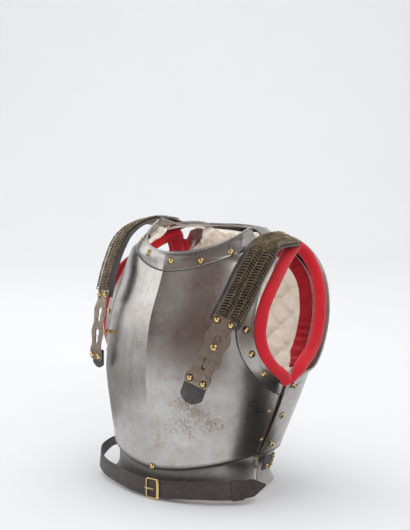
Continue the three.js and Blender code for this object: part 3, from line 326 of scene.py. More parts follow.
def half_plate(is_back, out, share=1.0, forged=True, arm_lift=0.0, fine=1.0):
    """Grids of points, and how deep in a crease each lies, over one half of a plate or its lining."""
    arm = back_arm if is_back else breast_arm
    corner = [float(v) for v in arm(1.0, 1)]
    foot = [float(v) for v in arm(0.0, 1)]
    columns = int(COLUMNS * fine)
    lower_rows = int(LOWER_ROWS * fine)
    upper_rows = int(UPPER_ROWS * fine)
    step = BORDER_STEP if forged else 0.0
    border = BORDER_SHARES if forged else np.linspace(0, 1, 7)

    if is_back:
        first = float(seam_deg(WAIST["z"] + WAIST["rise"]))

        def waist(t):
            deg = mix(first, NAPE_DEG, t)
            return deg, waist_z(deg)

        nape = (NAPE_DEG, BACK_SPLIT_Z)
        middle = line(foot, nape)

        def neck(t):
            rise = NECK_LINE["back_rise"] * np.abs(np.sin(np.pi * np.asarray(t, float) ** 0.6)) ** 0.8
            return mix(corner[0], NAPE_DEG, t), mix(corner[1], NECK_LINE["back_z"], t) + rise

        start = float(waist(0.0)[1])

        def seam(t):
            z = mix(start, foot[1], t)
            return np.where(np.asarray(t) == 0, first, seam_deg(z)), z

        side = (seam, line(ends(waist, 1.0), nape))
        upper_side = (lambda t: arm(t, 1), line(nape, ends(neck, 1.0)))
    else:
        corner_x = float(skin_point(corner[0], corner[1])[0])

        def waist(t):
            deg = SIDE_DEG * np.asarray(t, float)
            return deg, waist_z(deg)

        front = (0.0, BREAST_SPLIT_Z)
        middle = line(front, foot)

        def neck(t):
            t = np.asarray(t, float)
            z = mix(NECK_LINE["z"], corner[1], t * t)
            return np.where(t == 1, corner[0], deg_at_x(corner_x * t, z, True)), z

        side = (line(ends(waist, 0.0), front), line(ends(waist, 1.0), foot))
        upper_side = (line(front, ends(neck, 0.0)), lambda t: arm(t, 1))

    deg, z = fill(waist, middle, side[0], side[1], columns, lower_rows)
    grids = [skin(deg, z, out)]
    creases = [np.zeros(deg.shape)]
    deg, z = fill(middle, neck, upper_side[0], upper_side[1], columns, upper_rows)
    grids.append(skin(deg, z, out))
    creases.append(np.zeros(deg.shape))

    # the neck border, flared to its rim
    t = (border * share)[:, None]
    across = np.linspace(0, 1, columns + 1)[None, :]
    from_deg, from_z = neck(across)
    rim = back_rim(across) if is_back else breast_rim(across)
    rim_deg = deg_at_x(rim[..., 0], rim[..., 2], not is_back)
    push = rim - skin_point(rim_deg, rim[..., 2])
    raised = out + border_relief(t, step)
    grid = skin(mix(from_deg, rim_deg, t), mix(from_z, rim[..., 2], t), raised + 0 * from_deg)
    if forged:
        grid = grid + push * (t ** 1.5)[..., None]
    grids.append(grid)
    creases.append(groove(t) + 0 * from_deg)

    # the arm border, whose flare fades out at both of its ends
    along = np.linspace(0, 1, upper_rows + 1)[:, None]
    t = (border * share * (ARM_REACH if forged and not is_back else 1))[None, :]
    fade = (1 - 0.8 * smooth((along - 0.62) / 0.3)) * smooth(along / 0.16)
    arm_deg, arm_z = arm(along, 1 - t)
    amount = (BACK_ARM_FLARE if is_back else ARM_FLARE) if forged else 0
    raised = border_relief(t, step) * smooth(along / 0.05)
    grid = skin(arm_deg, arm_z, out + raised + amount * fade * t ** 1.6 - arm_lift * t ** 1.4)
    grids.append(grid[:, ::-1] if is_back else grid)
    crease = groove(t) * smooth(along / 0.03)
    creases.append(crease[:, ::-1] if is_back else crease)

    if forged:
        shares = FLANGE_SHARES[::-1][:, None]
        u = np.linspace(0, 1, columns + 1)[None, :]
        if is_back:
            low_edge = float(deg_at_y(BACK_EDGE["y"], BACK_EDGE["z"]))
            edge = mix(first, low_edge, np.clip(shares / BACK_EDGE["share"], 0, 1))
            deg = mix(edge, NAPE_DEG, u)
        else:
            deg = SIDE_DEG * u + 0 * shares
        z = mix(waist_z(deg), foot_z(deg), shares)
        if is_back:
            extra = -BACK_FLANGE_IN * shares ** 2
        else:
            extra = FLANGE_SIDE_FLARE * np.sin(np.radians(deg)) ** 2 * shares ** 2
        profile = spline(FLANGE_SHARE, FLANGE_OUT, shares)
        grid = skin(deg, z, out + profile + extra + 0 * deg)
        grid[0, :, 2] = foot_z(deg[0])
        grids.insert(0, grid)
        creases.insert(0, np.exp(-(((shares - 0.03) / 0.05) ** 2)) + 0 * deg)
    return grids, creases


def groove(t):
    """How deep in a border's crease line a point is, for its share of the border's width."""
    return np.exp(-(((t - 0.03) / 0.028) ** 2))


def border_relief(t, step):
    """A border's height above the body: a narrow groove, then a raised band that ends at its lip."""
    band = smooth((t - 0.03) / 0.06) * (1 - smooth((t - 0.7) / 0.3))
    return step * band - GROOVE_DEPTH * groove(t) * (step > 0)


def both_halves(plate):
    grids, creases = plate
    other = [(grid * np.array([-1.0, 1, 1]))[:, ::-1] for grid in grids]
    return grids + other, creases + [crease[:, ::-1] for crease in creases]


# ---------- meshes ----------

def to_world(points):
    moved = np.asarray(points, float).reshape(-1, 3) + np.array([0, FRAME_SHIFT, 0])
    return moved * MM


def make_mesh(name, points, faces, sharp_deg=40):
    """A mesh object from millimetre points; faces that meet at more than sharp_deg keep an edge."""
    mesh = bpy.data.meshes.new(name)
    mesh.from_pydata([tuple(p) for p in to_world(points)], [], [tuple(f) for f in faces])
    mesh.validate()
    mesh.polygons.foreach_set("use_smooth", [True] * len(mesh.polygons))
    mesh.set_sharp_from_angle(angle=math.radians(sharp_deg))
    mesh.update()
    made = bpy.data.objects.new(name, mesh)
    bpy.context.scene.collection.objects.link(made)
    return made


def weld(plate):
    """Points, quads and crease values of several grids, with shared edges joined."""
    points, known, faces, values = [], {}, [], []
    for grid, crease in zip(*plate):
        keys = np.round(grid * 50).astype(int)
        index = np.zeros(grid.shape[:2], int)
        for j in range(grid.shape[0]):
            for i in range(grid.shape[1]):
                key = tuple(keys[j, i])
                if key not in known:
                    known[key] = len(points)
                    points.append(grid[j, i])
                    values.append(crease[j, i])
                index[j, i] = known[key]
        for j in range(grid.shape[0] - 1):
            for i in range(grid.shape[1] - 1):
                quad = [index[j, i], index[j, i + 1], index[j + 1, i + 1], index[j + 1, i]]
                ring = [q for k, q in enumerate(quad) if q != quad[k - 1]]
                if len(ring) >= 3:
                    faces.append(ring)
    return np.array(points), faces, np.array(values)


def point_normals(points, faces, corners):
    """Directions at the points, from the first three or from all four corners of each face."""
    normals = np.zeros_like(points)
    for f in faces:
        n = np.cross(points[f[1]] - points[f[0]], points[f[2]] - points[f[0]])
        if len(f) == 4 and corners == 4:
            n = n + np.cross(points[f[2]] - points[f[0]], points[f[3]] - points[f[0]])
        for k in f:
            normals[k] += n
    return unit(normals)


def close_shell(points, inner, faces):
    """Joins an outer skin and the inner one that follows it into a closed body."""
    count = len(points)
    edges = {}
    for f in faces:
        for k in range(len(f)):
            edges[(f[k], f[(k + 1) % len(f)])] = True
    walls = [[b, a, a + count, b + count] for (a, b) in edges if (b, a) not in edges]
    backs = [[k + count for k in reversed(f)] for f in faces]
    return np.concatenate([points, inner]), list(faces) + backs + walls


def thicken(points, faces, thickness, foot=None):
    """A closed shell: the given faces look outwards and a second skin follows inside them."""
    normals = point_normals(points, faces, 4)
    if foot is not None:
        low = points[:, 2] < foot
        normals[low, 2] = 0
        normals = unit(normals)
    return close_shell(points, points - normals * thickness, faces)


def mark_ridge(mesh, top):
    """Keeps the forged ridge crisp where the two halves of the breastplate meet."""
    for edge in mesh.edges:
        spots = [mesh.vertices[k].co for k in edge.vertices]
        if spots[0].y < 0 and all(abs(p.x) < 1e-5 and 0 < p.z < top for p in spots):
            edge.use_edge_sharp = True


def circle(sides):
    return [2 * math.pi * k / sides for k in range(sides)]


def heading(path, k):
    """The way from the point before to the point after, along an open path."""
    return path[min(k + 1, len(path) - 1)] - path[max(k - 1, 0)]


def loft_faces(rings, size, closed=False):
    """Quads between rings of points in order, with end caps unless the last ring meets the first."""
    faces = []
    count = rings if closed else rings - 1
    for j in range(count):
        for i in range(size):
            a = j * size + i
            b = j * size + (i + 1) % size
            c = ((j + 1) % rings) * size + (i + 1) % size
            d = ((j + 1) % rings) * size + i
            faces.append([a, b, c, d])
    if not closed:
        faces.append(list(reversed(range(size))))
        faces.append([(rings - 1) * size + i for i in range(size)])
    return faces


def outward(points, faces):
    """Turns all faces round if the closed body would be inside out."""
    points = np.asarray(points).reshape(-1, 3)
    total = 0.0
    for f in faces:
        for k in range(1, len(f) - 1):
            total += np.dot(points[f[0]], np.cross(points[f[k]], points[f[k + 1]]))
    return faces if total > 0 else [list(reversed(f)) for f in faces]


def loft(name, rings, sharp_deg=40, closed=False):
    rings = np.array(rings)
    faces = outward(rings, loft_faces(rings.shape[0], rings.shape[1], closed))
    return make_mesh(name, rings, faces, sharp_deg)


class Batch:
    """Many small closed bodies gathered into one joined mesh."""

    def __init__(self):
        self.points, self.faces, self.count = [], [], 0

    def add(self, points, faces):
        points = np.asarray(points, float).reshape(-1, 3)
        faces = outward(points, faces)
        self.points.append(points)
        self.faces.extend([[k + self.count for k in f] for f in faces])
        self.count += len(points)

    def build(self, name, sharp_deg=40):
        return make_mesh(name, np.concatenate(self.points), self.faces, sharp_deg)


def lathe(profile, sides, at, facing):
    """Points and faces of a turned body whose axis starts at a point and looks along a direction."""
    turn = np.array(Vector((0, 0, 1)).rotation_difference(Vector(facing)).to_matrix())
    points = []
    for radius, height in profile:
        points += [[radius * math.cos(a), radius * math.sin(a), height] for a in circle(sides)]
    return np.array(points) @ turn.T + np.asarray(at), loft_faces(len(profile), sides)


DOME_PROFILE = [
    (1.0, -0.12), (1.0, 0.06), (0.96, 0.2), (0.86, 0.42),
    (0.7, 0.62), (0.5, 0.79), (0.28, 0.9), (0.06, 0.94),
]


def dome(at, facing, radius=5.0, height=4.0, sides=24):
    profile = [(r * radius, h * height) for r, h in DOME_PROFILE]
    return lathe(profile, sides, at, facing)


# ---------- routes ----------

def curve_points(points, fine=40):
    """Dense points of the centripetal curve through the given ones."""
    p = np.asarray(points, float)
    first = 2 * p[0] - p[1]
    last = 2 * p[-1] - p[-2]
    p = np.concatenate([[first], p, [last]])
    dense = []
    for k in range(1, len(p) - 2):
        p0, p1, p2, p3 = p[k - 1], p[k], p[k + 1], p[k + 2]
        spans = ((p0, p1), (p1, p2), (p2, p3))
        d0, d1, d2 = (max(float(np.sum((b - a) ** 2)) ** 0.25, 1e-4) for a, b in spans)
        m1 = ((p1 - p0) / d0 - (p2 - p0) / (d0 + d1) + (p2 - p1) / d1) * d1
        m2 = ((p2 - p1) / d1 - (p3 - p1) / (d1 + d2) + (p3 - p2) / d2) * d1
        for i in range(fine):
            t = i / fine
            a = 2 * p1 - 2 * p2 + m1 + m2
            b = -3 * p1 + 3 * p2 - 2 * m1 - m2
            dense.append(a * t ** 3 + b * t ** 2 + m1 * t + p1)
    dense.append(p[-2])
    return np.array(dense)


class Route:
    """A strap's path: where each distance along it lies, and which way it faces there."""

    def __init__(self, points, facings):
        self.points = np.asarray(points, float)
        self.facings = np.asarray(facings, float)
        self.dense = curve_points(self.points)
        steps = np.linalg.norm(np.diff(self.dense, axis=0), axis=1)
        self.arc = np.concatenate([[0], np.cumsum(steps)])
        self.length = float(self.arc[-1])
        chords = np.linalg.norm(np.diff(self.points, axis=0), axis=1)
        self.share = np.concatenate([[0], np.cumsum(chords)]) / chords.sum()

    def centre(self, along):
        return np.array([np.interp(along, self.arc, self.dense[:, k]) for k in range(3)])

    def at(self, along):
        """Centre, forward, outward and sideways directions at a distance along the route."""
        along = float(np.clip(along, 0, self.length))
        ahead = self.centre(min(along + 0.8, self.length))
        behind = self.centre(max(along - 0.8, 0))
        tangent = unit(ahead - behind)
        u = along / self.length
        out = np.array([np.interp(u, self.share, self.facings[:, k]) for k in range(3)])
        out = unit(out - tangent * np.dot(out, tangent))
        return self.centre(along), tangent, out, np.cross(tangent, out)

    def spot(self, along, across, height):
        centre, _, out, side = self.at(along)
        return centre + side * across + out * height, out


def sweep(name, route, start, end, steps, profile, sharp_deg=35):
    """A cross-section, given for each share of the way, swept along a route."""
    rings = []
    for k in range(steps + 1):
        t = k / steps
        centre, _, out, side = route.at(mix(start, end, t))
        rings.append([centre + side * a + out * b for a, b in profile(t)])
    return loft(name, rings, sharp_deg)


def strap_profile(wide, low, high, bevel=0.5, crown=0.0):
    """A flat strap's section with bevelled corners, thicker in the middle if it is crowned."""
    half = wide / 2
    return [
        (-half + bevel, low), (half - bevel, low), (half, low + bevel), (half, high - bevel),
        (half - bevel, high), (half * 0.5, high + crown), (0, high + crown * 1.3),
        (-half * 0.5, high + crown), (-half + bevel, high), (-half, high - bevel), (-half, low + bevel),
    ]


def mirrored(p):
    return np.asarray(p, float) * np.array([-1.0, 1, 1])


def for_side(p, sign):
    return np.asarray(p, float) if sign > 0 else mirrored(p)


SIDES = (("left", 1), ("right", -1))


# ---------- materials ----------

class Nodes:
    """A short way to write one material's node tree."""

    def __init__(self, name):
        self.material = bpy.data.materials.new(name)
        self.material.use_nodes = True
        self.tree = self.material.node_tree
        self.shader = self.tree.nodes["Principled BSDF"]
        self.coordinates = self.tree.nodes.new("ShaderNodeTexCoord").outputs["Object"]

    def link(self, a, b):
        self.tree.links.new(a, b)

    def new(self, kind, **inputs):
        node = self.tree.nodes.new(kind)
        for key, value in inputs.items():
            self.put(node, key.replace("_", " "), value)
        return node

    def put(self, node, key, value):
        """Sets an input to a number or a colour, or links another node's output to it."""
        socket = node.inputs[key]
        if isinstance(value, bpy.types.NodeSocket):
            self.link(value, socket)
        elif isinstance(value, tuple) and socket.type == "RGBA" and len(value) == 3:
            socket.default_value = (*value, 1)
        else:
            socket.default_value = value

    def noise(self, scale, detail=4, rough=0.55, at=None):
        node = self.new("ShaderNodeTexNoise", Scale=scale, Detail=detail, Roughness=rough)
        self.link(at or self.coordinates, node.inputs["Vector"])
        return node.outputs["Fac"]

    def stretched(self, scale, turn=(0, 0, 0)):
        node = self.new("ShaderNodeMapping", Scale=scale, Rotation=turn, Vector=self.coordinates)
        return node.outputs["Vector"]

    def ramp(self, value, stops):
        node = self.tree.nodes.new("ShaderNodeValToRGB")
        ends = node.color_ramp.elements
        while len(ends) < len(stops):
            ends.new(0.5)
        for element, (place, colour) in zip(ends, stops):
            element.position = place
            element.color = (*colour, 1) if isinstance(colour, tuple) else (colour, colour, colour, 1)
        self.link(value, node.inputs["Fac"])
        return node.outputs["Color"]

    def blend(self, share, a, b):
        node = self.tree.nodes.new("ShaderNodeMix")
        node.data_type = "RGBA"
        # a mix node's share is its input 0, and its two colours are the inputs 6 and 7
        for key, value in ((0, share), (6, a), (7, b)):
            self.put(node, key, value)
        return node.outputs[2]

    def math(self, kind, a, b, clamp=False):
        node = self.tree.nodes.new("ShaderNodeMath")
        node.operation = kind
        node.use_clamp = clamp
        self.put(node, 0, a)
        self.put(node, 1, b)
        return node.outputs[0]

    def times(self, a, b):
        return self.math("MULTIPLY", a, b)

    def plus(self, value, share, amount):
        """A value raised by an amount where a share is 1, kept between 0 and 1."""
        return self.math("ADD", value, self.times(share, amount), clamp=True)

    def span(self, value, low, high, to_low=0.0, to_high=1.0):
        limits = {"From_Min": low, "From_Max": high, "To_Min": to_low, "To_Max": to_high}
        return self.new("ShaderNodeMapRange", Value=value, **limits).outputs["Result"]

    def near(self, centre, radius):
        """1 at a point of the row frame, falling to 0 at a radius, in metres."""
        node = self.tree.nodes.new("ShaderNodeVectorMath")
        node.operation = "DISTANCE"
        self.link(self.coordinates, node.inputs[0])
        node.inputs[1].default_value = centre
        return self.span(node.outputs["Value"], radius, radius * 0.25)

    def axis(self, name):
        node = self.tree.nodes.new("ShaderNodeSeparateXYZ")
        self.link(self.coordinates, node.inputs[0])
        return node.outputs[name]

    def bump(self, height, strength, distance, after=None):
        node = self.new("ShaderNodeBump", Strength=strength, Distance=distance, Height=height)
        if after is not None:
            self.link(after, node.inputs["Normal"])
        return node.outputs["Normal"]

    def finish(self, colour, roughness, normal=None, **fixed):
        for key, value in (("Base Color", colour), ("Roughness", roughness), ("Normal", normal)):
            if value is not None:
                self.put(self.shader, key, value)
        for key, value in fixed.items():
            self.put(self.shader, key.replace("_", " "), value)
        return self.material


def steel_material():
    """Old satin steel: grey with tan clouds, rust freckles, pits, streaks and fine scratches."""
    n = Nodes("worn_steel")
    clouds = n.noise(9, 6, 0.6)
    mottle = n.noise(38, 5, 0.65)
    greys = [(0.3, (0.40, 0.375, 0.355)), (0.5, (0.5, 0.485, 0.47)), (0.72, (0.6, 0.59, 0.58))]
    colour = n.ramp(clouds, greys)
    tan = n.ramp(mottle, [(0.48, 0.0), (0.7, 0.6)])
    colour = n.blend(tan, colour, (0.38, 0.32, 0.26))
    streaks = n.noise(1, 3, 0.5, at=n.stretched((70, 70, 5)))
    colour = n.blend(n.ramp(streaks, [(0.56, 0.0), (0.75, 0.35)]), colour, (0.33, 0.27, 0.17))
    freckles = n.noise(260, 3, 0.6)
    patches = n.noise(16, 4, 0.6)
    near_tip = n.near((0.083, -0.134, 0.165), 0.075)
    near_foot = n.near((0.02, -0.15, 0.1), 0.09)
    spread = n.math("ADD", n.times(near_tip, 0.13), n.times(near_foot, 0.06))
    rust = n.math("ADD", n.times(freckles, 0.45), n.times(patches, 0.62))
    rust = n.span(n.math("ADD", rust, spread), 0.66, 0.76)
    colour = n.blend(n.times(rust, 0.4), colour, (0.33, 0.24, 0.13))
    specks = n.ramp(n.noise(700, 2, 0.5), [(0.68, 0.0), (0.76, 0.8)])
    colour = n.blend(specks, colour, (0.10, 0.08, 0.065))
    upright = n.noise(1, 2, 0.5, at=n.stretched((1500, 1500, 26), (0.0, 0.75, 0.2)))
    sideways = n.noise(1, 2, 0.5, at=n.stretched((30, 1300, 1300), (0.2, 0.5, -0.3)))
    scratch_a = n.ramp(upright, [(0.66, 0.0), (0.71, 1.0)])
    scratch_b = n.ramp(sideways, [(0.67, 0.0), (0.72, 1.0)])
    scratches = n.math("MAXIMUM", scratch_a, scratch_b)
    colour = n.blend(n.times(scratches, 0.3), colour, (0.62, 0.6, 0.58))
    # painted shade: the colour darkens nearly to black along the borders' grooves and under the waist's
    # overhang, where shade falls
    darkening = n.tree.nodes.new("ShaderNodeAttribute")
    darkening.attribute_name = "crease"
    crease = darkening.outputs["Fac"]
    colour = n.blend(n.times(crease, 0.92), colour, (0.04, 0.03, 0.025))
    scuffed_flange = n.span(n.axis("Z"), 0.062, 0.045)
    roughness = n.plus(n.span(mottle, 0.3, 0.75, 0.25, 0.38), rust, 0.3)
    roughness = n.plus(n.plus(roughness, crease, 0.3), scuffed_flange, 0.22)
    waves = n.bump(n.noise(14, 2, 0.4), 0.25, 0.0012)
    grain = n.bump(n.noise(420, 3, 0.6), 0.12, 0.0002, waves)
    pits = n.bump(n.math("SUBTRACT", 1.0, n.math("MAXIMUM", specks, scratches)), 0.25, 0.00015, grain)
    return n.finish(colour, roughness, pits, Metallic=1.0)


def brass_material(name, light, dark, low, high, darkening):
    """Brass with a soft patina: light on worn places, dark in its grime."""
    n = Nodes(name)
    clouds = n.noise(90, 5, 0.6)
    colour = n.ramp(clouds, [(0.3, dark), (0.62, light)])
    dirt = n.ramp(n.noise(300, 4, 0.65), [(0.5, 0.0), (0.72, darkening)])
    colour = n.blend(dirt, colour, (0.07, 0.05, 0.035))
    roughness = n.span(clouds, 0.3, 0.7, high, low)
    normal = n.bump(n.noise(500, 3, 0.6), 0.15, 0.00025)
    return n.finish(colour, roughness, normal, Metallic=1.0)


def leather_material(name, light, dark, roughness, along):
    """Old leather: fine creases, scuffs and a slight shine."""
    n = Nodes(name)
    clouds = n.noise(30, 5, 0.6)
    colour = n.ramp(clouds, [(0.3, dark), (0.7, light)])
    scuffs = n.ramp(n.noise(140, 5, 0.7, at=n.stretched(along)), [(0.56, 0.0), (0.74, 0.5)])
    colour = n.blend(scuffs, colour, tuple(min(1, 2.4 * c + 0.02) for c in light))
    rough = n.span(n.noise(120, 3), 0.3, 0.7, roughness - 0.08, roughness + 0.12)
    cells = n.tree.nodes.new("ShaderNodeTexVoronoi")
    cells.feature = "DISTANCE_TO_EDGE"
    cells.inputs["Scale"].default_value = 900
    n.link(n.coordinates, cells.inputs["Vector"])
    grain = n.bump(n.ramp(cells.outputs["Distance"], [(0.0, 0.0), (0.12, 1.0)]), 0.25, 0.0002)
    normal = n.bump(n.noise(200, 5, 0.7, at=n.stretched(along)), 0.3, 0.0004, grain)
    return n.finish(colour, rough, normal, Specular_IOR_Level=0.45)


def cloth_material(
    name, light, dark, dirt, thread=1400, sheen=0.35, sheen_tint=(1, 0.6, 0.6, 1), fuzz=0.35
):
    """Woven or felted cloth: threads, nap, uneven dye and handling marks."""
    n = Nodes(name)
    clouds = n.noise(22, 5, 0.6)
    colour = n.ramp(clouds, [(0.3, dark), (0.68, light)])
    marks = n.ramp(n.noise(60, 6, 0.7), [(0.55, 0.0), (0.8, 0.35)])
    colour = n.blend(marks, colour, dirt)
    nap = n.noise(thread * 0.8, 4, 0.7)
    colour = n.blend(n.span(nap, 0.35, 0.7, 0.0, 0.22), colour, tuple(c * 0.55 for c in dark))
    wave = n.tree.nodes.new("ShaderNodeTexWave")
    wave.wave_type = "BANDS"
    wave.bands_direction = "DIAGONAL"
    wave.inputs["Scale"].default_value = thread / 4
    wave.inputs["Distortion"].default_value = 2.0
    wave.inputs["Detail"].default_value = 2.0
    n.link(n.coordinates, wave.inputs["Vector"])
    weave = n.bump(wave.outputs["Fac"], 0.15, 0.0002)
    normal = n.bump(nap, fuzz, 0.0005, weave)
    return n.finish(
        colour, n.span(nap, 0.3, 0.7, 0.82, 0.98), normal,
        Sheen_Weight=sheen, Sheen_Roughness=0.5, Sheen_Tint=sheen_tint, Specular_IOR_Level=0.2,
    )


STEEL = steel_material()
BRASS = brass_material("polished_brass", (0.95, 0.72, 0.33), (0.72, 0.5, 0.2), 0.16, 0.3, 0.35)
OLD_BRASS = brass_material("plate_brass", (0.44, 0.37, 0.31), (0.28, 0.23, 0.19), 0.4, 0.6, 0.4)
CHAIN_BRASS = brass_material("chain_brass", (0.42, 0.33, 0.22), (0.16, 0.12, 0.08), 0.3, 0.5, 0.7)
GRIME = brass_material("dark_grime", (0.1, 0.075, 0.05), (0.04, 0.03, 0.022), 0.6, 0.75, 0.6)
BELT_LEATHER = leather_material(
    "belt_leather", (0.076, 0.058, 0.053), (0.038, 0.028, 0.025), 0.42, (1, 1, 3)
)
STRAP_LEATHER_LOOK = leather_material(
    "strap_leather", (0.075, 0.066, 0.066), (0.03, 0.026, 0.026), 0.32, (1, 1, 0.4)
)
RED_CLOTH = cloth_material("red_wool", (0.66, 0.018, 0.03), (0.5, 0.012, 0.022), (0.25, 0.012, 0.02))
# painted shade: the facing is the red wool darkened for its place deep inside the armhole
SHADED_FACING_CLOTH = cloth_material("red_facing_painted_shade", (0.4, 0.012, 0.022), (0.26, 0.008, 0.016), (0.14, 0.006, 0.01))
LINEN = cloth_material(
    "quilted_linen", (0.9, 0.85, 0.78), (0.82, 0.74, 0.63), (0.6, 0.48, 0.34), 1800, 0.1, (1, 1, 1, 1), 0.15
)


def dress(piece, material, slot, *nodes):
    """Gives a piece its finish, rides it on the body and lets it stand for its CAD nodes."""
    piece.data.materials.clear()
    piece.data.materials.append(material)
    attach(piece, "root")
    if nodes:
        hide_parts(*nodes)


def nodes_named(start):
    return sorted(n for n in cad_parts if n.startswith(start))


# ---------- plates ----------

def set_creases(piece, values):
    """Stores how deep in a crease each point of a plate lies, for the steel's painted shade there; the inner
    skin has none.
    """
    layer = piece.data.attributes.new("crease", "FLOAT", "POINT")
    layer.data.foreach_set("value", np.concatenate([values, np.zeros_like(values)]).astype(np.float32))


def plate_mesh(name, is_back, out, thickness):
    points, faces, creases = weld(both_halves(half_plate(is_back, out)))
    points, faces = thicken(points, faces, thickness, FOOT["rise"] + 0.01)
    piece = make_mesh(name, points, faces, 28)
    set_creases(piece, creases)
    return piece


RIDGE_TOP = 0.366  # in metres, where the neck border begins
breast = plate_mesh("breastplate_steel", False, 0.0, BREAST_THICKNESS)
mark_ridge(breast.data, RIDGE_TOP)
dress(breast, STEEL, "steel_plate", "breastplate")

back = plate_mesh("backplate_steel", True, BACK_OUT, BACK_THICKNESS)
dress(back, STEEL, "steel_plate", "backplate")


def neck_lip(name, path, deep):
    """The turned lip that rounds off a plate's neck rim, deep being the plate's thickness."""
    half_tall, half_wide = 2.1, 1.9
    rings = []
    for k, p in enumerate(path):
        tangent = unit(heading(path, k))
        up = unit(np.array([0, 0, 1.0]) - tangent * tangent[2])
        inward = np.cross(tangent, up)
        if np.dot(inward, np.array([0, NECK_RIM["y"], 0]) - p * np.array([1, 1, 0])) <= 0:
            inward = -inward
        centre = p + inward * deep * 0.45
        rings.append([
            centre + up * half_tall * math.sin(a) + inward * half_wide * math.cos(a) for a in circle(10)
        ])
    dress(loft(name, rings, 60), STEEL, "steel_plate")


half = breast_rim(np.linspace(0, 1, 60))
neck_lip("breast_neck_lip", np.concatenate([mirrored(half[::-1]), half[1:]]), BREAST_THICKNESS)
half = back_rim(np.linspace(0, 1, 60))
neck_lip("back_neck_lip", np.concatenate([half, mirrored(half[::-1])[1:]]), BACK_THICKNESS)


# ---------- rivets ----------

def facing_of(node):
    """Where a CAD rivet's foot is, which way it faces and how high it is, from its own mesh."""
    verts = np.array([v.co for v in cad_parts[node].data.vertices], float)
    verts = np.unique(np.round(verts, 6), axis=0)
    centre = verts.mean(axis=0)
    axes = np.linalg.svd(verts - centre)[2]
    best = None
    for axis in axes:
        along = (verts - centre) @ axis
        for sign in (1, -1):
            rise = along * sign
            foot = verts[rise < rise.min() + 1e-4]
            tip = verts[rise > rise.max() - 1e-4]
            if len(foot) >= 8 and len(tip) == 1 and (best is None or len(foot) > best[0]):
                best = (len(foot), foot.mean(axis=0), axis * sign, np.ptp(rise))
    _, foot, axis, height = best
    return foot / MM - np.array([0, FRAME_SHIFT, 0]), axis, height / MM


def seated(at, facing, plate):
    """Moves a rivet's foot along its axis onto the plate that it belongs to."""
    start = Vector(to_world(at + facing * 15)[0])
    hit = plate_trees[plate].ray_cast(start, Vector(-facing), 0.03)[0]
    if hit is None:
        return at
    return np.array(hit) / MM - np.array([0, FRAME_SHIFT, 0])


def surface_of(piece):
    return BVHTree.FromPolygons(
        [v.co for v in piece.data.vertices], [f.vertices for f in piece.data.polygons]
    )


plate_trees = {piece.name: surface_of(piece) for piece in (breast, back)}
PLATE_OF = {
    "rivet_neck": breast.name, "rivet_breast": breast.name,
    "rivet_ridge": breast.name, "rivet_back": back.name,
}
rivets, grime_rings = Batch(), Batch()
rivet_nodes = nodes_named("rivet_")
for node in rivet_nodes:
    at, facing, height = facing_of(node)
    for start, plate in PLATE_OF.items():
        if node.startswith(start):
            at = seated(at, facing, plate)
    radius = 4.1 if node.startswith("rivet_belt_patch") else 5.0
    rivets.add(*dome(at - facing * 0.3, facing, radius, height + 0.2))
    rings = [(0.3, 0.0), (radius + 0.9, 0.0), (radius + 1.0, 0.35), (0.3, 0.4)]
    grime_rings.add(*lathe(rings, 24, at - facing * 0.15, facing))
dress(rivets.build("brass_rivets"), BRASS, "bright_brass", *rivet_nodes)
dress(grime_rings.build("rivet_grime"), GRIME, "tarnished_brass")

EDGE_RIVETS = [(168, -23.5, 192.5), (161, -35, 148), (150, -41, 101), (142.5, -44, 68)]
edge_rivets = Batch()
for x, y, z in EDGE_RIVETS:
    deg = float(deg_at_y(y, z))
    at, facing = skin(deg, z, 0.0), skin_normal(deg, z)
    for _, sign in SIDES:
        edge_rivets.add(*dome(for_side(at, sign), for_side(facing, sign), 3.1, 2.4, 18))
dress(edge_rivets.build("edge_rivets"), BRASS, "bright_brass")


# ---------- linings ----------

QUILT = {
    "pitch": 42.0, "rise": 0.86, "depth": 5.0, "pucker": 6.5, "pucker_reach": 8.0,
    "seam_reach": 3.5, "rays": 5, "ray_height": 1.6, "ray_reach": 15,
}


def quilt(points, normals):
    """Pushes a lining's surface into crossing stitch lines, with deep puckers where they meet."""
    moved = points.copy()
    for k, (p, n) in enumerate(zip(points, normals)):
        place = Vector(p)
        around = math.atan2(p[0], p[1] - 10) * 125 + noise.noise(place * 0.015) * 10
        up = p[2] * QUILT["rise"] + noise.noise(place * 0.018 + Vector((9, 0, 0))) * 9
        a = (around + up) / QUILT["pitch"]
        b = (around - up) / QUILT["pitch"]
        from_a = (a - round(a)) * QUILT["pitch"]
        from_b = (b - round(b)) * QUILT["pitch"]
        seam = QUILT["seam_reach"]
        pillow = (1 - math.exp(-abs(from_a) / seam)) * (1 - math.exp(-abs(from_b) / seam))
        away = math.hypot(from_a, from_b)
        pucker = math.exp(-((away / QUILT["pucker_reach"]) ** 2))
        turn = math.atan2(from_b, from_a)
        rays = math.cos(QUILT["rays"] * turn + 3 * round(a)) * math.exp(-away / QUILT["ray_reach"])
        rays *= min(1.0, away / 6)
        soft = noise.noise(place * 0.02) * 2.0 + noise.noise(place * 0.05) * 1.4
        creased = abs(noise.noise(place * 0.035 + Vector((0, 0, 5)))) * 4.0
        push = QUILT["depth"] * (pillow - 0.6) - QUILT["pucker"] * pucker
        push = push + QUILT["ray_height"] * rays + soft - creased + 1.5
        moved[k] = p + n * push
    return moved


def lining(name, is_back, out, arm_lift):
    """A quilted lining: plain towards the plate, padded towards the wearer."""
    plate = half_plate(is_back, out, share=LINING_SHARE, forged=False, arm_lift=arm_lift, fine=2.0)
    points, faces, _ = weld(both_halves(plate))
    if is_back:
        plane = points[:, 1] - LINING_CUT["lean"] * points[:, 2]
        inside = plane > LINING_CUT["y"]
        faces = [f for f in faces if all(inside[k] for k in f)]
        used = sorted({k for f in faces for k in f})
        place = {k: i for i, k in enumerate(used)}
        points = points[used]
        faces = [[place[k] for k in f] for f in faces]
    normals = point_normals(points, faces, 3)
    inner = quilt(points - normals * (LINING_THICKNESS + 1.5), -normals)
    points, faces = close_shell(points, inner, faces)
    return make_mesh(name, points, faces, 60)


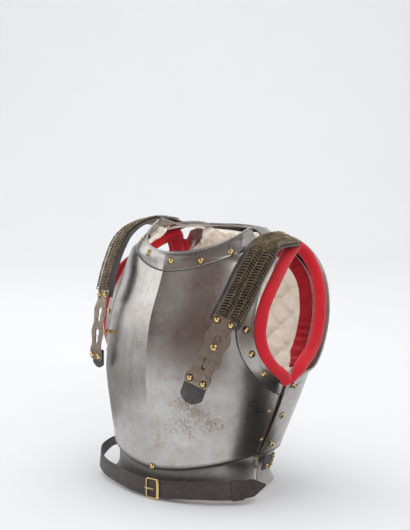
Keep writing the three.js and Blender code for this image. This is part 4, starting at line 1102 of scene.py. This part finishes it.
breast_lining = lining("breast_lining_linen", False, LINING_OUT, 0.0)
dress(breast_lining, LINEN, "quilted_linen", "breast_lining")
back_lining = lining("back_lining_linen", True, BACK_LINING_OUT, BACK_LINING_LIFT)
dress(back_lining, LINEN, "quilted_linen", "back_lining")


# ---------- arm rolls and facings ----------

ROLL_SWELL = 1.8  # the stuffed cloth stands this much proud of the plain shape
ROLL_SHIFT = 0.6  # and presses this much closer to the plates' edges
ROLL_EASE = 45  # rounds of smoothing, so that it bends like one stuffed tube
ROLL_RISE = 3.5  # it rides this much further out over the plates' edges
ROLL_TOP_RISE = 8.0  # and this much more at the breastplate's top
BACK_TOP_SHARE = 0.2  # of which the backplate's top takes this share
BREAST_TURNS = np.linspace(0.0, 0.82, 14)  # shares of each armhole at which the ring's path is taken
BACK_TURNS = np.linspace(0.86, 0.04, 14)
CLOSING_TURNS = np.linspace(0.12, 1, 9)  # shares of the bend that brings it back to its tip


def roll_spots(roll, is_back, turns):
    """Centre, outward direction and size of a roll at some angles of its armhole."""
    spots = []
    for t in turns:
        deg = mix(roll["foot_deg"], roll["top_deg"], t)
        reach = roll["drop"] * max(0.0, 1 - t / 0.15) ** 1.5
        y, z = hole_point(deg, ROLL_SHIFT - roll["inset"], is_back)
        z = z - reach
        round_ = float(deg_at_y(y - 0.8 * reach, z))
        top_rise = ROLL_TOP_RISE * (BACK_TOP_SHARE if is_back else 1.0)
        lift = ROLL_RISE + top_rise * float(smooth((t - 0.5) / 0.35))
        centre = skin(round_, z, roll["out"] + lift + 0.35 * reach)
        spots.append((centre, skin_normal(round_, z), roll["wide"] / 2, roll["thick"] / 2))
    return spots


def arm_ring(name, sign):
    """The stuffed roll: up the breastplate's armhole, over the shoulder and down the backplate's."""
    spots = roll_spots(BREAST_ROLL, False, BREAST_TURNS) + roll_spots(BACK_ROLL, True, BACK_TURNS)
    route = curve_points([spot[0] for spot in spots], 10)
    share = np.linspace(0, 1, len(route))
    known = np.linspace(0, 1, len(spots))

    def along(values):
        values = np.asarray(values, float)
        if values.ndim == 1:
            return np.interp(share, known, values)
        return np.stack([np.interp(share, known, values[:, k]) for k in range(values.shape[1])], axis=1)

    # the far end comes back to the pointed lower tip
    tip = route[0] + np.array([1.5, 2.0, 3.0])
    last = route[-1]
    bend = mix(last, tip, 0.55) + np.array([1.0, 5.0, -2.0])
    closing = np.array([mix(mix(last, bend, t), mix(bend, tip, t), t) for t in CLOSING_TURNS])
    outs, wides, highs = (along([spot[k] for spot in spots]) for k in (1, 2, 3))
    count = len(CLOSING_TURNS)
    outs = np.concatenate([outs, np.array([mix(outs[-1], outs[0], t) for t in CLOSING_TURNS])])
    wides = np.concatenate([wides, np.linspace(wides[-1] * 0.95, wides[0] * 0.4, count)])
    highs = np.concatenate([highs, np.linspace(highs[-1] * 0.95, highs[0] * 0.4, count)])
    route = np.concatenate([route, closing])
    for _ in range(ROLL_EASE):
        route[1:-1] = (route[:-2] + 2 * route[1:-1] + route[2:]) / 4
    rings = []
    for k, centre in enumerate(route):
        ahead = unit(heading(route, k))
        out = unit(outs[k] - ahead * np.dot(outs[k], ahead))
        across = np.cross(ahead, out)
        taper = min(1.0, 0.3 + k / 9)
        ring = []
        for a in circle(20):
            p = centre + across * (wides[k] + ROLL_SWELL) * taper * math.cos(a)
            p = p + out * (highs[k] + ROLL_SWELL) * taper * math.sin(a)
            push = noise.noise(Vector(p) * 0.045) * 0.7 + noise.noise(Vector(p) * 0.14) * 0.25
            ring.append(for_side(p + unit(p - centre) * push, sign))
        rings.append(ring)
    return loft(name, rings, 70)


def back_facing(name, sign):
    """The gathered strip inside the back roll: a band of folds held at both of its edges."""
    steps, rows = 190, 9
    rings = []
    for k in range(steps + 1):
        t = k / steps
        deg = mix(FACING["foot_deg"], FACING["top_deg"], t)
        ring_out, ring_in = [], []
        for j in range(rows + 1):
            v = j / rows
            wave = math.sin(t * 96 + 2.2 * math.sin(t * 19) + 0.8 * v)
            fold = 1.7 * wave * (0.4 + 0.6 * math.sin(math.pi * v))
            fold += 2.2 * noise.noise(Vector((t * 26, v * 0.7, sign * 3.0)))
            for ring, half in ((ring_out, 0.7), (ring_in, -0.7)):
                y, z = hole_point(deg, FACING["grow"] + half + fold, True)
                round_ = float(deg_at_y(y, z))
                deep = mix(FACING["top"], FACING["bottom"], v * (0.25 + 0.75 * min(1.0, t * 6)))
                ring.append(for_side(skin(round_, z, deep), sign))
        rings.append(ring_out + ring_in[::-1])
    return loft(name, rings, 60)


for side, sign in SIDES:
    ring = arm_ring("arm_roll_cloth_" + side, sign)
    dress(ring, RED_CLOTH, "red_cloth", "breast_arm_roll_" + side, "back_arm_roll_" + side)
    facing = back_facing("back_facing_cloth_" + side, sign)
    dress(facing, SHADED_FACING_CLOTH, "red_cloth", "back_facing_" + side)


# ---------- shoulder straps ----------

# angle round the torso, height, lift off the skin, sideways roll
HOOKED_ROUTE = [
    (23.3, 167, 1, 0), (27.3, 203, 1, 2), (32, 232, 1, 4), (35.9, 257, 1, 7), (40.5, 297, 2.6, 10),
    (45.8, 329.5, 6.5, 15), (52.5, 366, 11, 21), (62.5, 391, 12.5, 22), (73.5, 401, 11, 20),
    (86, 404, 12, 12),
    (*skin_above(124, 42), 11, 9), (*skin_above(118, 62), 9.5, 5), (*skin_above(109, 82), 9.5, 0),
]
# x, y, z, then the strap's facing: degrees round from the front, and degrees up
FREE_ROUTE = [
    (128, -120, 197, 22, 0), (128, -119, 231, 22, 0), (126, -114, 276, 22, 6), (122, -106, 322, 24, 14),
    (123.5, -93, 354, 28, 26), (128, -73, 382, 34, 40), (131.5, -50, 406, 36, 50), (131, -26, 420, 44, 62),
    (128, 0, 427, 64, 74), (127, 22, 429, 90, 76), (124, 44, 425.5, 110, 74), (118, 66, 420.5, 130, 73),
    (109, 86, 413.5, 145, 68),
]


def hooked_rows():
    at = [skin(deg, z, lift) for deg, z, lift, _ in HOOKED_ROUTE]
    rows = []
    for k, (deg, z, _, roll) in enumerate(HOOKED_ROUTE):
        turn = Matrix.Rotation(-math.radians(roll), 3, Vector(unit(heading(at, k))))
        rows.append((at[k], np.array(turn @ Vector(skin_normal(deg, z)))))
    return rows


def free_rows():
    rows = []
    for x, y, z, face, rise in FREE_ROUTE:
        face, rise = math.radians(face), math.radians(rise)
        flat = math.cos(rise)
        out = np.array([math.sin(face) * flat, -math.cos(face) * flat, math.sin(rise)])
        rows.append((np.array([x, y, z], float), out))
    return rows


# "pitch" is the distance between rows of links, less than a link is wide, so that they overlap
CHAIN = {
    "pitch": 7.4 / 1.5, "columns": 4, "long": 6.6, "short": 2.7, "wire": 0.85, "turn": 30.0, "tilt": 34.0,
}
REAR_ROUND = 26.0  # the leather is rounded off over this length at its rear end
REAR_NARROWING = 0.45  # and loses this share of its width


def oval_link(middle, long_axis, short_axis):
    """One round-wired oval ring: its points, and the faces round them."""
    around, section = 18, 6
    normal = np.cross(long_axis, short_axis)
    points = []
    for a in circle(around):
        c, s = math.cos(a), math.sin(a)
        path = long_axis * CHAIN["long"] * c + short_axis * CHAIN["short"] * s
        outwards = unit(long_axis * c / CHAIN["long"] + short_axis * s / CHAIN["short"])
        for b in circle(section):
            wire = outwards * math.cos(b) + normal * math.sin(b)
            points.append(middle + path + wire * CHAIN["wire"])
    return points, loft_faces(around, section, closed=True)


def chain_links(route, start, end, shift):
    """Rows of tilted oval rings; neighbouring columns lean opposite ways and so make a zigzag."""
    links = Batch()
    pitch = CHAIN["pitch"]
    column = STRAP_CHAIN["wide"] / CHAIN["columns"]
    for row in range(int((end - start - 6) / pitch)):
        along = start + 4 + row * pitch
        centre, tangent, out, side = route.at(along)
        rounded_end = route.length - along < REAR_ROUND * 0.85
        for c in range(1, CHAIN["columns"] - 1) if rounded_end else range(CHAIN["columns"]):
            lean = 1 if c % 2 == 0 else -1
            across = (c - (CHAIN["columns"] - 1) / 2) * column + shift
            turn = math.radians(CHAIN["turn"] * lean + rng.uniform(-3, 3))
            tilt = math.radians(CHAIN["tilt"] + rng.uniform(-5, 5))
            long_axis = side * math.cos(turn) + tangent * math.sin(turn)
            flat_axis = np.cross(out, long_axis)
            short_axis = flat_axis * math.cos(tilt) + out * math.sin(tilt)
            middle = centre + side * across + out * (COVER_LIFT + 2.4 + rng.uniform(-0.15, 0.15))
            links.add(*oval_link(middle, long_axis, short_axis))
    return links


def plate_outline():
    """The end plate's wavy edge and its two keyholes, drawn flat: across, and down from the top."""
    def half_at(v):
        turn = 2 * math.pi * (v - KEYHOLE["first"]) / PLATE["wave_pitch"]
        return PLATE["half"] + PLATE["wave"] * math.cos(turn)

    steps = 64
    edge = []
    for turn in (1, -1):
        for k in range(steps + 1):
            v = PLATE["length"] * (k if turn > 0 else steps - k) / steps
            corner = min(v, PLATE["length"] - v)
            rounding = 2.2 * max(0.0, 1 - corner / 3.0) ** 2
            edge.append(((half_at(v) - rounding) * turn, v))
    holes = []
    for round_ in (KEYHOLE["first"], KEYHOLE["second"]):
        meet = math.asin(KEYHOLE["slot"] / KEYHOLE["round"])
        ring = []
        for k in range(25):
            a = math.pi / 2 + meet + (2 * math.pi - 2 * meet) * k / 24
            ring.append((KEYHOLE["round"] * math.cos(a), round_ + KEYHOLE["round"] * math.sin(a)))
        for k in range(13):
            a = math.pi * k / 12
            foot = round_ + KEYHOLE["drop"]
            ring.append((KEYHOLE["slot"] * math.cos(a), foot + KEYHOLE["slot"] * math.sin(a)))
        holes.append(ring)
    return edge, holes


def end_plate(name, route, top):
    """The brass plate: its flat outline filled with triangles, laid along the strap and thickened."""
    edge, holes = plate_outline()
    spots = [Vector(p) for p in edge]
    constraints = [(k, (k + 1) % len(edge)) for k in range(len(edge))]
    for ring in holes:
        start = len(spots)
        spots.extend(Vector(p) for p in ring)
        constraints.extend((start + k, start + (k + 1) % len(ring)) for k in range(len(ring)))
    margin = 1.2
    wide, tall = KEYHOLE["slot"] + margin, KEYHOLE["drop"] + KEYHOLE["slot"] + margin
    for v in np.arange(3, PLATE["length"] - 2, 3.4):
        for u in np.arange(-15.3, 15.4, 3.4):
            clear = all(
                math.hypot(u, v - r) > KEYHOLE["round"] + margin and not (abs(u) < wide and r < v < r + tall)
                for r in (KEYHOLE["first"], KEYHOLE["second"])
            )
            if clear:
                spots.append(Vector((u, v)))
    verts, _, tris, *_ = delaunay_2d_cdt(spots, constraints, [], 1, 1e-5)
    flat = [(v.x, v.y) for v in verts]

    def is_open(tri):
        u = sum(flat[k][0] for k in tri) / 3
        v = sum(flat[k][1] for k in tri) / 3
        for r in (KEYHOLE["first"], KEYHOLE["second"]):
            in_round = math.hypot(u, v - r) < KEYHOLE["round"]
            in_slot = abs(u) < KEYHOLE["slot"] and r < v < r + KEYHOLE["drop"]
            if in_round or in_slot or math.hypot(u, v - r - KEYHOLE["drop"]) < KEYHOLE["slot"]:
                return True
        return False

    tris = [list(t) for t in tris if not is_open(t)]
    points = []
    for u, v in flat:
        worn = 0.5 * math.exp(-((v - PLATE["length"] + 19) / 3.0) ** 2)
        dish = 0.35 * noise.noise(Vector((u * 0.08, v * 0.06, 1.0)))
        p, _ = route.spot(top - v, u, COVER_LIFT + PLATE["thick"] + worn + dish)
        points.append(p)
    points = np.array(points)
    a, b, c = (points[k] for k in tris[0])
    out = route.at(top - flat[tris[0][0]][1])[2]
    if np.dot(np.cross(b - a, c - a), out) < 0:
        tris = [t[::-1] for t in tris]
    points, faces = thicken(points, tris, PLATE["thick"])
    piece = make_mesh(name, points, faces, 50)
    bevel = piece.modifiers.new("soft_edges", "BEVEL")
    bevel.width = 0.0004
    bevel.segments = 2
    bevel.limit_method = "ANGLE"
    bevel.angle_limit = math.radians(55)
    return piece


def strap_section(sign):
    """The strap's leather: a thin inner margin, a groove, and a raised body under the chain."""
    half = STRAP_LEATHER["wide"] / 2
    thin, full = 2.0, COVER_LIFT - 0.5
    margin = [
        (-half, 0.5), (-half, thin - 0.5), (0.5 - half, thin), (-23.4, thin + 0.1), (-22.6, thin - 0.5),
        (-21.8, thin + 0.1),
    ]
    body = [
        (-19.6, full - 0.9), (-18.4, full), (-10, full + 0.15), (4, full + 0.2), (16, full + 0.1),
        (24.6, full - 0.2), (half - 0.2, full - 1.2), (half, 0.5),
    ]
    section = margin + body + [(half - 0.5, 0.0), (0.5 - half, 0.0)]
    return section if sign > 0 else [(-a, b) for a, b in reversed(section)]


def shoulder_strap(side, sign, free):
    """Makes one strap's leather, links, end plate and tongue, and returns its route and plate top."""
    rows = free_rows() if free else hooked_rows()
    route = Route([for_side(p, sign) for p, _ in rows], [for_side(n, sign) for _, n in rows])
    top = TIP["short_end"] if free else TIP["end"]
    start = top - LEATHER_LAP

    def section(t):
        left_over = (1 - t) * (route.length - start)
        narrowing = 1 - REAR_NARROWING * max(0.0, 1 - left_over / REAR_ROUND) ** 2
        return [(a * narrowing, b) for a, b in strap_section(sign)]

    leather = sweep("leather_strap_" + side, route, start, route.length, 110, section, 30)
    dress(leather, STRAP_LEATHER_LOOK, "dark_leather", "strap_leather_" + side)
    links = chain_links(route, top + 1.5, route.length - 12, STRAP_CHAIN["shift"] * sign)
    dress(links.build("chain_links_" + side, 75), CHAIN_BRASS, "tarnished_brass", "strap_chain_" + side)
    plate = end_plate("strap_end_plate_" + side, route, top)
    dress(plate, OLD_BRASS, "tarnished_brass", "strap_plate_" + side)

    def tongue(t):
        half = TIP["half"] * math.sin(min(math.pi / 2, 0.3 + 5 * t))
        return strap_profile(2 * half, 0.0, TIP["thick"], 0.6, 0.25)

    piece = sweep("strap_tongue_" + side, route, 0, top - TIP["start"], 40, tongue, 35)
    dress(piece, STRAP_LEATHER_LOOK, "dark_leather", "strap_tip_" + side)
    return route, top


hooked_route, hooked_top = shoulder_strap("left", 1, False)
shoulder_strap("right", -1, True)

HEAD, NECK_TOP, STUD_TOP = STUD["head"], STUD["reach"], STUD["height"]
STUD_PROFILE = [
    (STUD["shank"], -1.0), (STUD["shank"], NECK_TOP), (HEAD - 0.4, NECK_TOP + 0.2), (HEAD, NECK_TOP + 0.9),
    (HEAD, STUD_TOP - 2.2), (HEAD * 0.9, STUD_TOP - 1.3), (HEAD * 0.62, STUD_TOP - 0.4),
    (HEAD * 0.2, STUD_TOP),
]
studs = Batch()
for side, sign in SIDES:
    node = "breast_stud_" + side
    verts = np.array([v.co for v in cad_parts[node].data.vertices], float) / MM
    verts[:, 1] -= FRAME_SHIFT
    _, facing = hooked_route.spot(hooked_top - KEYHOLE["first"] - KEYHOLE["drop"], 0, 0)
    facing = for_side(facing, sign)
    along = verts @ facing
    middle = verts.mean(axis=0)
    foot = middle + facing * (along.min() - middle @ facing)
    studs.add(*lathe(STUD_PROFILE, 24, foot, facing))
dress(studs.build("brass_studs"), BRASS, "bright_brass", "breast_stud_left", "breast_stud_right")


# ---------- waist belt ----------

# x, y, z, then how far the strap leans back, in degrees
LONG_BELT = [
    (-151, -2, 57, 8), (-152, -16, 56, 14), (-156, -31, 53, 34), (-160, -45, 49.5, 40),
    (-162, -58, 45.5, 30), (-162, -73, 38.5, 15), (-155, -86, 31, 5), (-140, -98, 25.5, 0),
    (-117, -111, 23, 0), (-92, -121.5, 22, 0), (-60, -132.5, 20.5, 0), (-30, -140, 18.8, 0),
    (-13, -141.5, 18.2, 0), (20, -141.5, 18.2, 0), (40, -140.3, 20, 0), (88.5, -126, 24, 0),
    (119.5, -107, 24, 0), (131, -95.7, 24, 0), (145.5, -77.3, 25.5, 0), (150.5, -66, 26.3, 0),
    (155, -53, 27, 0), (158.5, -42, 27.8, 0),
]
BUCKLE_ROW = 13
SHORT_END = 20


def belt_route(rows, inwards):
    spots = np.array([row[:3] for row in rows], float)
    facings = []
    for k, row in enumerate(rows):
        ahead = heading(spots, k)
        side = unit(np.array([ahead[1], -ahead[0], 0]))
        lean = math.radians(row[3])
        facings.append(side * math.cos(lean) + np.array([0, 0, math.sin(lean)]))
    facings = np.array(facings)
    return Route(spots - facings * inwards, facings)


long_belt = belt_route(LONG_BELT, 0)
short_rows = [(11, *LONG_BELT[BUCKLE_ROW - 1][1:])] + LONG_BELT[BUCKLE_ROW:SHORT_END]
short_belt = belt_route(short_rows, BELT["layer"])


def belt_section(wide):
    """A belt's section, with a pressed line just inside each edge."""
    half, t = wide / 2, BELT["thick"]
    side = [(half - 0.4, 0), (half, 0.5), (half, t - 0.5), (half - 0.5, t)]
    side += [(half - 2.2, t), (half - 2.8, t - 0.35), (half - 3.4, t)]
    if half < 5:
        shares = ((0.97, 0), (1, 0.5), (1, t - 0.5), (0.97, t), (0.8, t), (0.7, t), (0.6, t))
        side = [(half * share, h) for share, h in shares]
    return side + [(0, t + 0.1)] + [(-a, b) for a, b in reversed(side)]


def long_section(t):
    return belt_section(BELT["wide"] * min(1.0, 0.12 + (1 - t) * 18))


def short_section(t):
    return belt_section(BELT["wide"])


long_leather = sweep("belt_leather_long", long_belt, 0, long_belt.length, 170, long_section, 40)
dress(long_leather, BELT_LEATHER, "dark_leather", "belt_strap")
short_leather = sweep("belt_leather_short", short_belt, 0, short_belt.length, 60, short_section, 40)
dress(short_leather, BELT_LEATHER, "dark_leather", "belt_short_strap")

# the buckle: a rounded brass frame whose side bars lie over the strap, with a middle bar behind it
BELT_Y = -141.5
FRONT = BELT_Y - BELT["thick"] - 0.3
HEART_Z = 18.2
FRAME_HALF = BELT["wide"] / 2 + 1.4
FRAME_LEFT, FRAME_RIGHT = -4.0, 19.4
MIDDLE_BAR_X = 8.5
SQUARENESS = 0.28
PRONG_TIP_X, PRONG_ROOT_X = -5.6, 12


def bar(batch, path, radii, sides, closed=False):
    """A round bar along a path, with its own half width and half depth at each point."""
    path = np.array(path, float)
    rings = []
    for k, p in enumerate(path):
        ahead = unit(path[(k + 1) % len(path)] - path[k - 1] if closed else heading(path, k))
        depth = np.array([0, -1.0, 0])
        if abs(ahead[1]) < 0.95:
            depth = unit(depth - ahead * np.dot(depth, ahead))
        else:
            depth = np.array([0, 0, 1.0])
        wide = np.cross(ahead, depth)
        half_wide, half_deep = radii[k]
        rings.append([
            p + wide * half_wide * math.cos(a) + depth * half_deep * math.sin(a) for a in circle(sides)
        ])
    batch.add(np.array(rings), loft_faces(len(path), sides, closed))


def squared(value, power):
    """Pushes a cosine or sine outwards, which turns a circle into a rounded square."""
    return np.sign(value) * abs(value) ** power


buckle = Batch()
corner_path, corner_radii = [], []
for a in circle(72):
    x = (FRAME_LEFT + FRAME_RIGHT) / 2 + (FRAME_RIGHT - FRAME_LEFT) / 2 * squared(math.cos(a), SQUARENESS)
    z = HEART_Z + FRAME_HALF * squared(math.sin(a), SQUARENESS)
    heavy = float(smooth((math.cos(a) - 0.2) / 0.5))
    corner_path.append((x, FRONT - 1.6, z))
    corner_radii.append((mix(1.2, 2.9, heavy), mix(1.3, 1.9, heavy)))
bar(buckle, corner_path, corner_radii, 12, closed=True)
lower = [(FRONT - 1.6, -FRAME_HALF), (BELT_Y - 0.1, -FRAME_HALF - 0.2), (BELT_Y + 1.3, 0.8 - FRAME_HALF)]
outline = lower + [(BELT_Y + 1.3, 0.0)] + [(y, -z) for y, z in reversed(lower)]
middle_path = [(MIDDLE_BAR_X, y, HEART_Z + z) for y, z in outline]
bar(buckle, middle_path, [(1.3, 0.9)] * len(middle_path), 10)
dress(buckle.build("buckle_frame", 50), BRASS, "bright_brass", "belt_buckle")

prong = Batch()
turns = np.linspace(0, 1, 12)
prong_path = [
    (mix(PRONG_ROOT_X, PRONG_TIP_X, t), FRONT - 4.1 - 0.5 * math.sin(math.pi * t), HEART_Z) for t in turns
]
bar(prong, prong_path, [(mix(1.3, 0.75, t), 0.85) for t in turns], 10)
dress(prong.build("buckle_prong", 50), BRASS, "bright_brass", "belt_prong")

# the keeper: a leather loop round both straps
KEEPER = {"x": 137.5, "y": -88, "z": 24.6, "length": 20, "thick": 1.3, "gap": 0.8}
goal = np.array([KEEPER["x"], KEEPER["y"], KEEPER["z"]])
samples = np.linspace(0, long_belt.length, 900)
heart = min(samples, key=lambda s: float(np.linalg.norm(long_belt.at(s)[0] - goal)))
centre, tangent, out, side = long_belt.at(heart)
low = -BELT["layer"] - KEEPER["gap"]
high = BELT["thick"] + KEEPER["gap"]
tall = BELT["wide"] / 2 + KEEPER["gap"]


def keeper_ring(along, grown):
    """A rounded square round both straps, at a share of the keeper's half length."""
    middle = centre + tangent * along * KEEPER["length"] / 2
    ring = []
    for a in circle(40):
        across = (tall + grown) * squared(math.cos(a), 0.3)
        height = (low + high) / 2 + ((high - low) / 2 + grown) * squared(math.sin(a), 0.3)
        ring.append(middle + side * across + out * height)
    return ring


PUFFS = ((-1, 0.0), (-0.97, 0.5), (-0.6, 0.75), (0, 0.9), (0.6, 0.75), (0.97, 0.5), (1, 0.0))
rings = [keeper_ring(along, KEEPER["thick"] * (0.4 + 0.6 * puff)) for along, puff in PUFFS]
rings += [keeper_ring(along, 0.0) for along in (0.96, 0, -0.96)]
dress(loft("keeper_loop", rings, 40, closed=True), BELT_LEATHER, "dark_leather", "belt_keeper")

# the leather patch left on the backplate's lower side edge
PATCH_Z = 58
PATCH_OUT = 3.2
patch_rows = []
for y in (-29, -12, 6):
    deg = float(deg_at_y(y, PATCH_Z))
    patch_rows.append((skin(deg, PATCH_Z, PATCH_OUT), skin_normal(deg, PATCH_Z)))
patch_route = Route([p for p, _ in patch_rows], [n for _, n in patch_rows])


def patch_section(t):
    wide = 25 - 5 * max(0.0, 1 - t / 0.08) ** 2 - 4 * max(0.0, (t - 0.9) / 0.1) ** 2
    return strap_profile(wide, 0.0, BELT["thick"], 0.5, 0.1)


patch = sweep("patch_leather", patch_route, 0, patch_route.length, 30, patch_section, 35)
dress(patch, BELT_LEATHER, "dark_leather", "belt_patch")


# ---------- floor, light and camera ----------

def stage_material(name, colour, roughness):
    n = Nodes(name)
    tone = n.noise(3, 3, 0.5)
    shade = n.ramp(tone, [(0.3, tuple(c * 0.985 for c in colour)), (0.7, colour)])
    return n.finish(shade, roughness, Specular_IOR_Level=0.15)


# the camera's direction and distance from its target; the wall stands square behind the object
AZIMUTH, ELEVATION, DISTANCE = math.radians(38), math.radians(8), 2.5
TARGET = Vector((0.0018, -0.0066, 0.3667))


def sweep_floor():
    """A floor that curves up into a wall behind the object, as in a studio."""
    half_wide, near, far, high = 9.0, -7.0, 2.6, 9.0
    bend = 2.0
    profile = [(y, 0.0) for y in np.linspace(near, far, 12)]
    for a in np.linspace(0.05, math.pi / 2, 40):
        profile.append((far + bend * math.sin(a), bend - bend * math.cos(a)))
    profile += [(far + bend, z) for z in np.linspace(bend + 0.5, high, 8)]
    c, s = math.cos(AZIMUTH), math.sin(AZIMUTH)
    verts = [(x * c - y * s, x * s + y * c, z) for y, z in profile for x in (-half_wide, half_wide)]
    quads = [(2 * k, 2 * k + 1, 2 * k + 3, 2 * k + 2) for k in range(len(profile) - 1)]
    mesh = bpy.data.meshes.new("studio_floor")
    mesh.from_pydata(verts, [], quads)
    mesh.polygons.foreach_set("use_smooth", [True] * len(mesh.polygons))
    floor = bpy.data.objects.new("studio_floor", mesh)
    bpy.context.scene.collection.objects.link(floor)
    floor.data.materials.append(stage_material("pale_floor", (0.785, 0.79, 0.8), 0.7))
    return floor


floor = sweep_floor()


def area_light(name, at, target, size, power, colour=(1, 1, 1)):
    data = bpy.data.lights.new(name, "AREA")
    data.shape = "RECTANGLE"
    data.size, data.size_y = size
    data.energy = power
    data.color = colour
    lamp = bpy.data.objects.new(name, data)
    lamp.location = at
    bpy.context.scene.collection.objects.link(lamp)
    lamp.rotation_euler = (Vector(target) - lamp.location).to_track_quat("-Z", "Y").to_euler()
    lamp.visible_camera = False


area_light("key_left", (-2.8, -0.5, 1.5), (0, 0, 0.3), (2.6, 2.2), 16, (1.0, 0.985, 0.97))
area_light("top_soft", (-0.1, 0.2, 3.0), (0, 0, 0.2), (3.0, 3.0), 46)
area_light("right_fill", (2.4, -1.6, 2.6), (0.1, -0.2, 0.0), (2.0, 2.0), 22)
area_light("wall_light", (-1.2, 1.4, 3.2), (-2.6, 3.4, 1.6), (2.0, 2.0), 24)
inner = bpy.data.lights.new("inner_fill", "POINT")
inner.energy = 0.28
inner.shadow_soft_size = 0.08
inner_lamp = bpy.data.objects.new("inner_fill", inner)
inner_lamp.location = (0.03, 0.0, 0.34)
bpy.context.scene.collection.objects.link(inner_lamp)


def flag(name, corners, colour):
    """A card that the steel reflects; the camera doesn't see it and it casts no shadow."""
    mesh = bpy.data.meshes.new(name)
    mesh.from_pydata(corners, [], [(0, 1, 2, 3)])
    card = bpy.data.objects.new(name, mesh)
    bpy.context.scene.collection.objects.link(card)
    look = stage_material(name + "_look", (0.01, 0.01, 0.01), 0.9)
    shader = look.node_tree.nodes["Principled BSDF"]
    shader.inputs["Emission Color"].default_value = (*colour, 1)
    shader.inputs["Emission Strength"].default_value = 1.0
    card.data.materials.append(look)
    card.visible_camera = False
    card.visible_shadow = False
    card.visible_diffuse = False


def lying(corners, height):
    return [(x, y, height) for x, y in corners]


def standing(start, end, low, high):
    return [(*start, low), (*end, low), (*end, high), (*start, high)]


flag("dark_card_right", standing((0.8, -0.35), (0.8, 0.34), 0.0, 0.5), (0.01, 0.009, 0.009))
near_floor = lying([(0.17, -0.14), (0.8, -0.3), (0.8, 0.28), (0.2, 0.15)], 0.004)
flag("dark_card_floor", near_floor, (0.015, 0.012, 0.012))
flag("brown_card_front", standing((-0.8, -2.7), (2.3, -2.2), 0.01, 2.9), (0.15, 0.086, 0.067))
overhead = lying([(-2.2, -2.7), (2.4, -2.2), (2.4, 0.7), (-2.2, 0.7)], 2.85)
flag("brown_card_above", overhead, (0.066, 0.043, 0.034))
left_floor = lying([(-3.2, -1.4), (-0.42, -0.7), (-0.42, 0.5), (-3.2, 0.9)], 0.003)
flag("grey_card_left", left_floor, (0.36, 0.345, 0.335))

world = bpy.data.worlds.new("studio")
bpy.context.scene.world = world
world.use_nodes = True
background = world.node_tree.nodes["Background"]
background.inputs["Color"].default_value = (0.955, 0.965, 0.985, 1)
background.inputs["Strength"].default_value = 0.74

camera_data = bpy.data.cameras.new("view")
camera = bpy.data.objects.new("view", camera_data)
bpy.context.scene.collection.objects.link(camera)
camera_data.sensor_width = 36
camera_data.lens = 101.9
away = Vector((
    math.sin(AZIMUTH) * math.cos(ELEVATION), -math.cos(AZIMUTH) * math.cos(ELEVATION), math.sin(ELEVATION)
))
camera.location = TARGET + away * DISTANCE
camera.rotation_euler = (-away).to_track_quat("-Z", "Y").to_euler()
camera_data.clip_start, camera_data.clip_end = 0.05, 60
bpy.context.scene.camera = camera
bpy.context.scene.view_settings.view_transform = "Standard"
